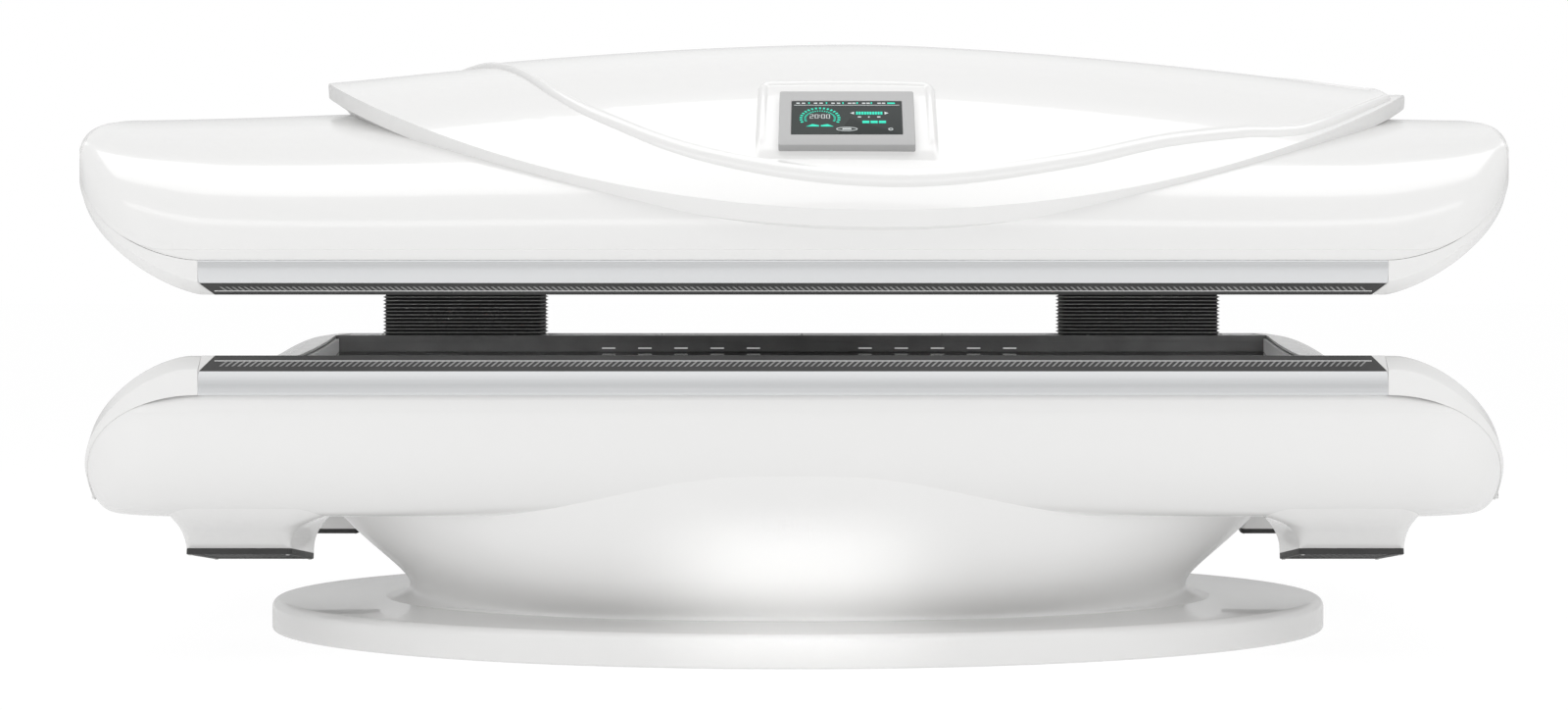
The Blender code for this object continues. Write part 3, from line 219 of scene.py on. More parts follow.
def fillet(points, radius, steps=4):
    """Rounds the corners of an open outline, with the same number of points whatever its shape."""
    points = [np.array(point, float) for point in points]
    made = [points[0]]
    for before, at, after in zip(points, points[1:], points[2:]):
        back, on = before - at, after - at
        cut = min(radius, 0.45 * np.linalg.norm(back), 0.45 * np.linalg.norm(on))
        start = at + back / max(np.linalg.norm(back), 1e-9) * cut
        end = at + on / max(np.linalg.norm(on), 1e-9) * cut
        for step in range(steps + 1):
            t = step / steps
            made.append(start * (1 - t) ** 2 + 2 * at * t * (1 - t) + end * t * t)
    return made + [points[-1]]


def rounded_rectangle(half_x, half_y, corner, steps=6):
    points = []
    for quarter, (sx, sy) in enumerate(((1, 1), (-1, 1), (-1, -1), (1, -1))):
        for step in range(steps + 1):
            angle = (quarter + step / steps) * pi / 2
            points.append((sx * (half_x - corner) + corner * cos(angle),
                           sy * (half_y - corner) + corner * sin(angle)))
    return points


def soft_block(size, low, high, corner, edge, steps=4):
    """Rings of a block with rounded corners and rounded top and bottom edges."""
    levels = [(low + edge * (1 - cos(pi / 2 * s / steps)), edge * (1 - sin(pi / 2 * s / steps)))
              for s in range(steps + 1)]
    levels += [(low + high - z, inset) for z, inset in reversed(levels)]
    rings = []
    for z, inset in levels:
        outline = rounded_rectangle(size[0] / 2 - inset, size[1] / 2 - inset, max(corner - inset, 1e-4))
        rings.append([(x, y, z) for x, y in outline])
    return rings


def placed(rings, matrix):
    return [[tuple(matrix @ Vector(point)) for point in ring] for ring in rings]


def seated(along, across, out, centre):
    """Matrix that lays a shape's own axes along three directions at a place."""
    matrix = Matrix((along, across, out)).transposed().to_4x4()
    matrix.translation = centre
    return matrix


def turned(rings, sides=6):
    """Rows of a small turned shape with a few flat sides, from radii and heights."""
    turns = [2 * pi * side / sides for side in range(sides)]
    return [[(radius * cos(turn), radius * sin(turn), z) for turn in turns] for radius, z in rings]


def smooth(t):
    t = min(1.0, max(0.0, t))
    return t * t * (3 - 2 * t)


# Repeated small shapes


def give_sockets(tree, way, **kinds):
    """Named inputs or outputs of a node group."""
    for name, kind in kinds.items():
        tree.interface.new_socket(name, in_out=way, socket_type=f"NodeSocket{kind}")


def field_tree():
    """Geometry nodes that repeat the object's own mesh over a grid of points."""
    tree = bpy.data.node_groups.new("repeat_over_grid", "GeometryNodeTree")
    give_sockets(tree, "INPUT", Item="Geometry", Width="Float", Depth="Float", Columns="Int", Rows="Int",
                 Finish="Material")
    give_sockets(tree, "OUTPUT", Result="Geometry")
    given = tree.nodes.new("NodeGroupInput")
    result = tree.nodes.new("NodeGroupOutput")
    points = tree.nodes.new("GeometryNodeMeshGrid")
    spread = tree.nodes.new("GeometryNodeInstanceOnPoints")
    real = tree.nodes.new("GeometryNodeRealizeInstances")
    look = tree.nodes.new("GeometryNodeSetMaterial")
    for start, output, end, socket in (
            (given, "Width", points, "Size X"), (given, "Depth", points, "Size Y"),
            (given, "Columns", points, "Vertices X"), (given, "Rows", points, "Vertices Y"),
            (points, "Mesh", spread, "Points"), (given, "Item", spread, "Instance"),
            (spread, "Instances", real, "Geometry"), (real, "Geometry", look, "Geometry"),
            (given, "Finish", look, "Material"), (look, "Geometry", result, "Result")):
        tree.links.new(start.outputs[output], end.inputs[socket])
    return tree


def repeated(name, item, material, width, depth, columns, rows):
    """One mesh of an item repeated over a grid about the origin."""
    made = loose(f"{name}_item", item)
    spread = made.modifiers.new("repeat", "NODES")
    spread.node_group = REPEAT
    values = {"Width": width, "Depth": depth, "Columns": columns, "Rows": rows, "Finish": material}
    for socket in REPEAT.interface.items_tree:
        if socket.name in values:
            spread[socket.identifier] = values[socket.name]
    return settled(made)


def joined(name, meshes, sharp=40):
    """Several (mesh, matrix) pairs as one mesh."""
    form = bmesh.new()
    for mesh, matrix in meshes:
        copy = mesh.copy()
        copy.transform(matrix)
        form.from_mesh(copy)
        bpy.data.meshes.remove(copy)
    made = bpy.data.meshes.new(name)
    form.to_mesh(made)
    form.free()
    made.shade_smooth()
    made.set_sharp_from_angle(angle=radians(sharp))
    return made


# Shell laws


def rounding(over, run, power=2):
    if over <= 0:
        return 1.0
    return max(0.0, 1.0 - min(1.0, over / run) ** power) ** (1.0 / power)


def plan_inset(x):
    return PLAN_CORNER * (1.0 - rounding(abs(x) - (HALF_LENGTH - PLAN_CORNER), PLAN_CORNER))


def way_up(shell):
    """1 for the bed, which opens upwards, and -1 for the canopy."""
    return 1 if shell.edge > shell.edge_end else -1


def edge_share(x, shell):
    return rounding(abs(x) - (HALF_LENGTH - shell.edge_run), shell.edge_run, shell.edge_power)


def edge_height(x, shell):
    return shell.edge_end + (shell.edge - shell.edge_end) * edge_share(x, shell)


def seam_height(x, shell):
    share = rounding(abs(x) - RAIL_HALF, HALF_LENGTH - SEAM_MARGIN - RAIL_HALF, shell.seam_power)
    return shell.seam_end + (shell.seam - shell.seam_end) * share


def tub_under(x):
    over = abs(x) - (HALF_LENGTH - TUB_UNDER_RUN)
    return TUB_BOTTOM + TUB_UNDER_RISE * (1.0 - rounding(over, TUB_UNDER_RUN))


def tub_round(side):
    return TUB_REAR_ROUND if side > 0 else TUB_FRONT_ROUND


def tub_half(x, z, side):
    drop = (TUB_BOTTOM + TUB_ROUND_HEIGHT - z) / TUB_ROUND_HEIGHT
    return HALF_WIDTH - plan_inset(x) - tub_round(side) * (1.0 - rounding(drop, 1.0))


def tub_below(y):
    side = 1 if y > 0 else -1
    over = abs(y) - (HALF_WIDTH - tub_round(side))
    return TUB_BOTTOM + TUB_ROUND_HEIGHT * (1.0 - rounding(over, tub_round(side)))


def end_run(start, stop, count):
    """Stations that close up towards a rounded end."""
    return [start + (stop - start) * sin(pi / 2 * step / count) for step in range(count + 1)]


def both_ends(stations):
    return sorted({-x for x in stations} | set(stations))


def end_closed(row, base):
    """Three more rows, which close an end with a flat face down to a base height."""
    return [[(x, y, base + (z - base) * share) for x, y, z in row] for share in (0.66, 0.33, 0.0)]


def cover_rise(x):
    return CANOPY_CROWN - CANOPY_CROWN_SAG * (x / HALF_LENGTH) ** 2


def cover_power(x):
    return CANOPY_POWER + CANOPY_SQUARE * min(1.0, abs(x) / HALF_LENGTH) ** CANOPY_SQUARE_POWER


# Plinth and pedestal


def ellipse(half_x, half_y, count=180):
    return [(half_x * cos(2 * pi * i / count), half_y * sin(2 * pi * i / count)) for i in range(count)]


def make_plinth(material):
    top, foot = 0.014, 0.005
    levels = [(foot * (1 - cos(a)), foot * (1 - sin(a))) for a in np.linspace(0, pi / 2, 5)]
    levels += [(PLINTH_HEIGHT - top * (1 - sin(a)), top * (1 - cos(a))) for a in np.linspace(0, pi / 2, 9)]
    rings = [[(x, y, z) for x, y in ellipse(PLINTH_LENGTH / 2 - inset, PLINTH_DEPTH / 2 - inset)]
             for z, inset in levels]
    piece("plinth_body", solid("plinth_body", rings), material, "bed", ["plinth"])


def make_pedestal(material):
    foot = PLINTH_HEIGHT - PEDESTAL_SINK
    rings = []
    for share in np.append(PEDESTAL_TUCK, np.linspace(0, 1, 56) ** 1.8):
        up = max(share, 0)
        half = []
        for low, high, skirt, power, bulge in zip(PEDESTAL_FOOT, PEDESTAL_HEAD, PEDESTAL_SKIRT,
                                                  PEDESTAL_SKIRT_POWER, PEDESTAL_BULGE):
            half.append(low + (high - low) * up ** PEDESTAL_FLARE + skirt * (1 - up) ** power
                        + PEDESTAL_FILLET * (1 - share) ** PEDESTAL_FILLET_POWER + bulge * sin(pi * up))
        ring = []
        for (x, y), (_, head_y) in zip(ellipse(*half), ellipse(*PEDESTAL_HEAD)):
            ring.append((x, y, foot + (tub_below(head_y) + PEDESTAL_INTO_TUB - foot) * share))
        rings.append(ring)
    shell_piece("pedestal_cover", rings, SHELL_WALL, material, "bed", ["pedestal"], wrap=True)


# Bed shells


def tub_profile(x, steps=26, flat=30):
    """Outside of the tub at x: shoulder under the rail, front, underside, rear and rear shoulder."""
    at = abs(x)
    low = tub_under(at)
    centre = TUB_BOTTOM + TUB_ROUND_HEIGHT
    top = seam_height(at, BED)
    turn = min(centre - 0.004, top - 0.002)
    depth = SHOULDER_DEPTH * smooth((top - turn) / SHOULDER_RUN)
    tall = centre - low
    start = asin(min(1.0, max(0.0, (centre - turn) / tall)))
    sides = []
    for side in (-1, 1):
        base = HALF_WIDTH - plan_inset(at) - tub_round(side)
        outer = base + tub_round(side) * cos(start)
        half = []
        for step in range(11):
            t = step / 10
            half.append((x, side * (outer - depth * (1 - t) ** SHOULDER_POWER), top + (turn - top) * t))
        for step in range(1, steps + 1):
            angle = start + (pi / 2 - start) * step / steps
            half.append((x, side * (base + tub_round(side) * cos(angle)), centre - tall * sin(angle)))
        sides.append(half)
    front, rear = sides[0], sides[1][::-1]
    y0, y1 = front[-1][1], rear[0][1]
    middle = [(x, y0 + (y1 - y0) * step / flat, low) for step in range(1, flat)]
    return front + middle + rear


def make_tub(material):
    straight = list(np.linspace(0, RAIL_HALF, 12))
    stations = both_ends(straight + end_run(RAIL_HALF, HALF_LENGTH - TUB_END_MARGIN, 34)[1:])
    shell_piece("tub_shell", [tub_profile(x) for x in stations], SHELL_WALL, material, "bed", ["bed_tub"])
    shape = Shape()
    for x in (-BOSS_X, BOSS_X):
        for side in (-1, 1):
            shape.grid(boss_rows(x, side), wrap=True)
    mesh = walled("tub_bosses", shape.mesh("tub_bosses", closed=False), BOSS_WALL)
    piece("tub_bosses", mesh, material, "bed")


def boss_rows(x0, side):
    """A fan boss, flared out of the tub's underside, most to the outside and towards the pedestal."""
    y0, z0 = side * BOSS_Y, TUB_BOTTOM - BOSS_DROP
    rows = []
    for turn in np.linspace(0, pi / 2, 20):
        share, swell = sin(turn), 1 - cos(turn)
        grow = BOSS_FLARE * (0.75 * share + 0.25 * swell)
        corner = BOSS_CORNER + grow + BOSS_CORNER_GROWTH * share
        outline = rounded_rectangle(BOSS_SIZE[0] / 2 + grow, BOSS_SIZE[1] / 2 + grow, corner, 10)
        row = []
        for x, y in outline:
            pad = z0 + side * y * tan(BOSS_TILT)
            if x * x0 < 0:
                x -= copysign(BOSS_INWARD * swell - grow, x0)
            else:
                x -= copysign(BOSS_END_LEAN * share - BOSS_END_SWELL * swell, x0)
            if y * side > 0:
                y += side * (BOSS_OUTWARD * (0.6 * share + 0.4 * swell) - grow)
            head = tub_below(y0 + y) + BOSS_INTO_TUB
            row.append((x0 + x, y0 + y, pad + (head - pad) * share))
        rows.append(row)
    return rows[::-1]


def cap_profile(x, shell):
    """Outside of an end cap at x: up (or down) one side, over the bevel, across, and back."""
    at = abs(x)
    up = way_up(shell)
    flat = edge_height(at, shell)
    base = seam_height(at, shell) + up * SEAT_GAP
    bevel = min(BEVEL_WIDTH, BEVEL_SHARE * abs(flat - base))
    top = flat - up * bevel
    levels = [base + (top - base) * step / 8 for step in range(9)]
    halves = []
    for side in (-1, 1):
        half = [(side * cap_half(at, z, side, up), z) for z in levels]
        half.append((side * (cap_half(at, top, side, up) - BEVEL_WIDTH), flat))
        halves.append(half)
    start, end = halves[0][-1][0], min(REAR_RIM_Y, halves[1][-1][0] - BEVEL_WIDTH)
    deep = shell.scoop * edge_share(at, shell)
    across = []
    for step in range(1, 17):
        t = 2 * step / 16 - 1
        across.append((start + (end - start) * step / 16, flat - deep * (1 - t * t)))
    outline = halves[0] + across + halves[1][::-1]
    return [(x, y, z) for y, z in fillet(outline, 0.0045)]


def cap_half(x, z, side, up):
    return tub_half(x, z, side) if up > 0 else HALF_WIDTH - plan_inset(x)


def make_end_caps(body, shell, material):
    stations = [RAIL_HALF + SEAT_GAP] + end_run(RAIL_HALF, HALF_LENGTH - CAP_END_MARGIN, 44)[1:]
    for end, turn in ENDS:
        node = f"{body}_end_cap_{end}"
        rows = [cap_profile(turn * x, shell) for x in stations]
        rows += end_closed(rows[-1], shell.seam_end)
        shell_piece(f"{node}_shell", rows, COVER_WALL, material, body, [node])


def make_corners(body, shell, material):
    """White corner pieces that fill the mitred ends of the strip on the bevel."""
    up = way_up(shell)
    outer, inner = (-HALF_WIDTH, shell.edge - up * shell.bevel), (-HALF_WIDTH + BEVEL_WIDTH, shell.edge)
    shape = Shape()
    for _, turn in ENDS:
        far, near = turn * RAIL_HALF, turn * (RAIL_HALF - BEVEL_WIDTH)
        front = [(far, *outer), (far, *inner), (near, *inner)]
        back = [(x, y + 0.003, z - up * 0.002) for x, y, z in front]
        shape.grid([front, back], wrap=True, caps=True)
    name = f"{body}_end_cap_corners"
    piece(name, shape.mesh(name), material, body)


# Rim rails and mesh strips


def rail_outlines(side, shell):
    """Outlines of a rim rail whose face turns back towards the bevel, and of the strip on the bevel."""
    up, edge = way_up(shell), shell.edge
    outer, inner, lip = (side * (HALF_WIDTH - inset) for inset in (0, RAIL_WIDTH, BEVEL_WIDTH))
    ridge = edge - up * shell.bevel
    foot = ridge - up * shell.rail + up * SEAT_GAP
    strip_end = lip - side * STRIP_THICKNESS
    strip = [(outer - side * STRIP_INSET, ridge + up * SEAT_GAP), (lip, edge), (strip_end, edge),
             (outer - side * STRIP_THICKNESS, ridge + up * SEAT_GAP)]
    face = []
    for t in np.linspace(0, 1, 25):
        over = max(0.0, (t - RAIL_LEAN_START) / (1 - RAIL_LEAN_START))
        under = max(0.0, (RAIL_TUCK_END - t) / RAIL_TUCK_END)
        proud = RAIL_PROUD - RAIL_LEAN * over ** 2 - RAIL_TUCK * under ** 2
        face.append((outer + side * proud, foot + (ridge - foot) * t))
    top = [(lip, edge)]
    if side < 0:
        back = outer - side * (STRIP_THICKNESS + SEAT_GAP + STRIP_INSET)
        top = [(back, ridge), (strip_end - side * SEAT_GAP, edge)]
    return face + top + [(inner, edge), (inner, foot)], strip


def make_rails(body, shell, metal, dark):
    for end, side in (("front", -1), ("rear", 1)):
        rail, strip = rail_outlines(side, shell)
        node = f"{body}_rail_{end}"
        rows = [[(x, y, z) for y, z in rail] for x in (-RAIL_HALF, RAIL_HALF)]
        piece(f"{node}_profile", solid(node, rows, sharp=30), metal, body, [node])
        if side < 0:
            node = f"{body}_mesh_strip_{end}"
            rows = []
            for turn in (-1, 1):
                far = turn * (RAIL_HALF - STRIP_END_GAP)
                near = far - turn * BEVEL_WIDTH
                rows.append([(x, y, z) for x, (y, z) in zip((far, near, near, far), strip)])
            piece(f"{node}_plate", solid(node, rows), dark, body, [node])


def make_hatch(body, shell, material, highlight_look):
    """Slanted bars, and a thin pale bead whose light colour is a painted highlight along the hatch band's
    upper edge, standing on the strip of the front bevel.
    """
    up, name = way_up(shell), f"{body}_hatch"
    foot = Vector((0, -HALF_WIDTH + STRIP_INSET, shell.edge - up * shell.bevel))
    head = Vector((0, -HALF_WIDTH + BEVEL_WIDTH, shell.edge))
    slope = (head - foot).normalized()
    along = Vector((1, 0, 0))
    out = along.cross(slope) * up
    if out.y > 0:
        out = -out
    matrix = seated(along, slope, out, foot + (head - foot) * 0.46)
    half = 0.15 * (head - foot).length
    corners = ((-1, -1), (-1, 1), (1, 1), (1, -1))
    rows = [[(end * half + side * wide, end * half, z) for end, side in corners]
            for z, wide in ((0.0001, 0.0016), (0.0009, 0.0012))]
    item = solid(f"{name}_bar", rows)
    bars = repeated(name, item, material, 2 * RAIL_HALF - 0.07, 0.0, columns=190, rows=1)
    bars.transform(matrix)
    piece(f"{name}_bars", bars, material, body)
    place, reach = half + 0.0012, RAIL_HALF - 0.021
    highlight_bead = Shape().block((-reach, place - 0.0005, 0.0), (reach, place + 0.0005, 0.0009), matrix)
    piece(f"{name}_beads", highlight_bead.mesh(f"{name}_beads"), highlight_look, body)


def make_rim(body, shell, white, metal, dark, bars, highlight_bead):
    """End caps, corner pieces, rails, strips and hatching round the rim of the bed or the canopy."""
    make_end_caps(body, shell, white)
    make_corners(body, shell, white)
    make_rails(body, shell, metal, dark)
    make_hatch(body, shell, bars, highlight_bead)


# Canopy cover, leaf and panel


def cover_seam(x):
    """Lower edge of the cover: a level line above the rail that runs into the rising end seam."""
    rise = seam_height(x, CANOPY) - CANOPY_SEAM
    level = 0.0163
    return CANOPY_SEAM + (rise ** 3 + level ** 3) ** (1 / 3)


def cover_profile(x, steps=72):
    at = abs(x)
    base = seam_height(at, CANOPY) + SEAT_GAP
    fall = CANOPY_END_ROUND * (1.0 - rounding(at - (HALF_LENGTH - CANOPY_END_ROUND), CANOPY_END_ROUND))
    top = CANOPY_SEAM + cover_rise(at) - fall
    half = HALF_WIDTH - plan_inset(at)
    power = 2 / cover_power(at)
    groove = GROOVE_DEPTH * max(0.0, 1 - ((HALF_LENGTH - GROOVE_INSET - at) / GROOVE_DEPTH) ** 2)
    top, half = top - groove, half - groove
    share = min(0.9, max(0.0, (cover_seam(at) - base) / (top - base)))
    reach = acos(share ** (1 / power))
    row = []
    for step in range(steps + 1):
        angle = reach * (2 * step / steps - 1)
        y = half * copysign(abs(sin(angle)) ** power, angle)
        row.append((x, y, base + (top - base) * max(0.0, cos(angle)) ** power))
    turn_in = ((0.0008, 0.0012), (0.0026, 0.0016))
    lips = []
    for side, (_, y, z) in ((-1, row[0]), (1, row[-1])):
        lips.append([(x, y - side * inset, z - drop) for inset, drop in turn_in])
    return lips[0][::-1] + row + lips[1]


def make_cover(material):
    straight = list(np.linspace(0, RAIL_HALF, 24))
    stations = straight + end_run(RAIL_HALF, HALF_LENGTH - COVER_END_MARGIN, 48)[1:]
    groove, reach = HALF_LENGTH - GROOVE_INSET, 0.0018
    stations += list(np.linspace(groove - reach, groove + reach, 7))
    rows = [cover_profile(x) for x in both_ends(stations)]
    last = end_closed(rows[-1], CANOPY.seam_end)
    first = [[(-x, y, z) for x, y, z in row] for row in reversed(last)]
    shell_piece("cover_shell", first + rows + last, COVER_WALL, material, "canopy", ["canopy_cover"])
    make_cover_strips(material)


def make_cover_strips(material):
    """Strips that fill the gap between the canopy's rails and the lower edge of its cover."""
    reach, inset, thick, lap = 1.01, 0.0018, 0.004, 0.001
    shape = Shape()
    stations = both_ends(list(np.linspace(0, RAIL_HALF, 8)) + list(np.linspace(RAIL_HALF, reach, 14)))
    for side in (-1, 1):
        rows = []
        for x in stations:
            low = seam_height(x, CANOPY) + SEAT_GAP
            high = cover_seam(x) + lap
            y = side * (HALF_WIDTH - plan_inset(x) - inset)
            back = y - side * thick
            rows.append([(x, y, low), (x, y, high), (x, back, high), (x, back, low)])
        shape.grid(rows, wrap=True, caps=True)
    piece("cover_strips", shape.mesh("cover_strips"), material, "canopy")


def leaf_frame(along):
    x = LEAF_CENTRE + LEAF_HALF * along
    lip = LEAF_LIP_ABOVE_SEAM + LEAF_LIP_DROP * abs(along) ** LEAF_LIP_POWER - LEAF_LIP_TILT * along
    lip_y = (HALF_WIDTH - LEAF_INSET) * rounding(abs(along), LEAF_TIP_BLUNT, LEAF_PLAN_POWER)
    lip_z = CANOPY_SEAM + lip
    crown = CANOPY_SEAM + CANOPY_CROWN + LEAF_CROWN - LEAF_TIP_FALL * abs(along) ** LEAF_TIP_POWER
    crown -= LEAF_TILT * along
    return x, lip_y, lip_z, min(lip_z + LEAF_LIP_HEIGHT, crown - LEAF_TIP_ROUND), crown


def leaf_point(along, across, lift=0.0):
    x, lip_y, _, low, crown = leaf_frame(along)
    half = lip_y + LEAF_OVERHANG
    return x, half * across, low + (crown - low) * (1.0 - abs(across) ** LEAF_POWER) + lift


def leaf_slope(along, across):
    _, lip_y, _, low, crown = leaf_frame(along)
    fall = (crown - low) * LEAF_POWER * abs(across) ** (LEAF_POWER - 1)
    return atan2(fall, lip_y + LEAF_OVERHANG)


def leaf_profile(along, steps=60):
    """Section of the leaf: top, rounded edge, lip face and its turn back under to the cover."""
    x, lip_y, lip_z, _, _ = leaf_frame(along)
    outline = [leaf_point(along, sin(pi / 2 * (2 * step / steps - 1)))[1:] for step in range(steps + 1)]
    tip = LEAF_TIP_DROP * smooth((abs(along) - LEAF_TIP_START) / LEAF_TIP_RUN)
    outline = [(y, max(z - tip, lip_z + 0.004)) for y, z in outline]
    half = lip_y + LEAF_OVERHANG
    under = ((0.005, 0.0, 0.0), (0.026, 0.016, 0.025), (0.060, 0.055, 0.055))
    sides = []
    for side in (-1, 1):
        sides.append([(x - (x - LEAF_CENTRE) * pull, side * max(0.0, half - inset), lip_z - drop)
                      for inset, drop, pull in under])
    ends = [(x, *half_side[0][1:]) for half_side in sides]
    outline = fillet([ends[0], *((x, *point) for point in outline), ends[1]], 0.004, 3)
    return sides[0][:0:-1] + [tuple(point) for point in outline] + sides[1][1:]


def make_leaf(material):
    rows = [leaf_profile(sin(pi / 2 * step)) for step in np.linspace(-1, 1, 161)]
    shell_piece("leaf_shell", rows, LEAF_WALL, material, "canopy", ["leaf_cover"], caps=True)


def edge_curve(knots, place):
    last = len(knots) - 1
    at = max(0, min(last - 1, sum(1 for knot in knots[1:-1] if knot[0] <= place)))
    (x0, y0), (x1, y1) = knots[at], knots[at + 1]
    before, after = knots[max(0, at - 1)], knots[min(last, at + 2)]
    span = x1 - x0
    start = (y1 - before[1]) / (x1 - before[0]) * span
    end = (after[1] - y0) / (after[0] - x0) * span
    t = (place - x0) / span
    value = y0 * (1 + 2 * t) * (1 - t) ** 2 + start * t * (1 - t) ** 2
    value += y1 * t * t * (3 - 2 * t) + end * t * t * (t - 1)
    return max(-1.0, min(1.0, value))


def soft_step(distance, run=0.009):
    """Height share of the panel's rounded edge, a distance in from it."""
    t = min(1.0, max(0.0, distance / run))
    return sqrt(1 - (1 - t) ** 2)


def panel_profile(along):
    half = leaf_frame(along)[1] + LEAF_OVERHANG
    front, rear = edge_curve(PANEL_EDGE, along), -edge_curve(PANEL_EDGE, -along)
    width = half * (rear - front)
    near = [PANEL_BAND * (step / 14) ** 1.4 / width for step in range(15)]
    middle = list(np.linspace(near[-1], 1 - near[-1], 60))[1:-1]
    places = near + middle + [1 - place for place in reversed(near)]
    end = LEAF_HALF * (PANEL_END - abs(along))
    row = []
    for place in places:
        inward = min(place, 1 - place) * width
        roll = PANEL_ROLL * max(0.0, 1 - ((min(inward, end) - PANEL_ROLL_PLACE) / PANEL_ROLL_HALF) ** 2)
        lift = -PANEL_SINK + (PANEL_THICKNESS + PANEL_SINK) * min(soft_step(inward), soft_step(end)) + roll
        row.append(leaf_point(along, front + (rear - front) * place, lift))
    return row


def make_panel(material):
    ends = [PANEL_END - 0.016 * (step / 6) ** 1.6 for step in range(7)]
    stations = both_ends(ends + list(np.linspace(0, ends[-1], 110)))
    rows = [panel_profile(along) for along in stations]
    shell_piece("panel_skin", rows, LEAF_WALL, material, "canopy", ["leaf_panel"])
    make_surround(material)


def surround_height(dx, dv):
    """Height over the panel of the screen's plate: a plateau, a ridge round three sides, a ramp below."""
    half, top, foot, round_off = 0.140, 0.141, -0.050, 0.022
    reach = max(abs(dx) - half, dv - top)
    if min(abs(dx) - half, dv - top) > -round_off:
        corner = Vector((abs(dx) - half + round_off, dv - top + round_off)).length - round_off
        reach = max(reach, corner)
    ramp, border, sunk = 0.032, 0.010, 0.0012
    fade = smooth((dv - foot + ramp) / ramp)
    plateau = 0.0042 * smooth(-reach / border) * fade
    ridge = 0.0036 * max(0.0, 1 - ((reach + border) / 0.0075) ** 2) * smooth((dv - foot) / 0.02)
    return plateau + ridge - sunk * (1 - smooth(-reach / 0.004) * fade)


def make_surround(material):
    along = (SCREEN_X - LEAF_CENTRE) / LEAF_HALF
    lean = cos(leaf_slope(along, SCREEN_ACROSS))
    middle = leaf_point(along, SCREEN_ACROSS)[1]
    across = np.concatenate((np.linspace(-0.145, -0.112, 26), np.linspace(-0.110, 0.110, 30),
                             np.linspace(0.112, 0.145, 26)))
    up = np.concatenate((np.linspace(-0.083, 0.108, 46), np.linspace(0.110, 0.146, 26)))
    rows = []
    for dv in up:
        row = []
        for dx in across:
            at = (SCREEN_X + dx - LEAF_CENTRE) / LEAF_HALF
            half = leaf_frame(at)[1] + LEAF_OVERHANG
            lift = PANEL_THICKNESS + surround_height(dx, dv)
            row.append(leaf_point(at, (middle + dv * lean) / half, lift))
        rows.append(row)
    shell_piece("screen_surround", rows, PLATE_WALL, material, "canopy")


def screen_matrix():
    along = (SCREEN_X - LEAF_CENTRE) / LEAF_HALF
    x, y, z = leaf_point(along, SCREEN_ACROSS, PANEL_THICKNESS)
    lean = Matrix.Rotation(leaf_slope(along, SCREEN_ACROSS), 4, "X")
    return Matrix.Translation((x, y, z)) @ lean @ Matrix.Translation(SCREEN_SEAT)


# Bellows


def bellows_fold(share):
    """1 on a pleat's crest and 0 in its valley, at a share of the bellows' height."""
    return abs(((share * BELLOWS_PLEATS) % 1) * 2 - 1)


def bellows_rows(low, high, rows_each=6):
    rows = []
    count = BELLOWS_PLEATS * rows_each
    for row in range(count + 1):
        inset = BELLOWS_PLEAT_DEPTH * (1 - bellows_fold(row / count) ** 1.5)
        outline = rounded_rectangle(BELLOWS_SIZE[0] / 2 - inset, BELLOWS_SIZE[1] / 2 - inset,
                                    BELLOWS_CORNER - inset, 5)
        rows.append([(x, y, low + (high - low) * row / count) for x, y in outline])
    return rows


def make_bellows(material):
    for end, _ in ENDS:
        node = f"bellows_{end}"
        low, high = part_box(node)
        centre = (low + high) / 2
        rows = placed(bellows_rows(low.z, high.z), Matrix.Translation((centre.x, centre.y, 0)))
        mesh = Shape().grid(rows, wrap=True).mesh(node, closed=False)
        # Crest share of each point, which places the painted highlight on the pleats' crests.
        crest = mesh.attributes.new("crest", "FLOAT", "POINT")
        for vertex, value in zip(mesh.vertices, crest.data):
            value.value = bellows_fold((vertex.co.z - low.z) / (high.z - low.z))
        made = piece(f"{node}_pleats", walled(node, mesh, CLOTH_WALL), material, None, [node])
        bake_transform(made)


# Fan pads


def pad_places():
    for x in (-BOSS_X, BOSS_X):
        for side in (-1, 1):
            place = Matrix.Translation((x, side * BOSS_Y, TUB_BOTTOM - BOSS_DROP))
            name = f"{'front' if side < 0 else 'rear'}_{'left' if x < 0 else 'right'}"
            yield name, place @ Matrix.Rotation(side * BOSS_TILT, 4, "X")


def ring_tile(pitch, hole, low, high):
    """A square tile with a round hole, closed all round."""
    count = 8
    square, circle = [], []
    for step in range(count):
        angle = 2 * pi * step / count
        reach = pitch / 2 / max(abs(cos(angle)), abs(sin(angle)))
        square.append((reach * cos(angle), reach * sin(angle)))
        circle.append((hole * cos(angle), hole * sin(angle)))
    rows = [[(x, y, z) for x, y in ring] for ring, z in
            ((square, low), (square, high), (circle, high), (circle, low), (square, low))]
    return Shape().grid(rows, wrap=True).mesh("ring_tile")


def screw_head(radius, height):
    """A domed screw head with a six-sided recess, standing on the plane z = 0."""
    rings = [(radius, 0.0), (radius, height * 0.5), (radius * 0.8, height), (radius * 0.5, height),
             (radius * 0.45, height * 0.4)]
    return solid("screw_head", turned(rings), sharp=50)


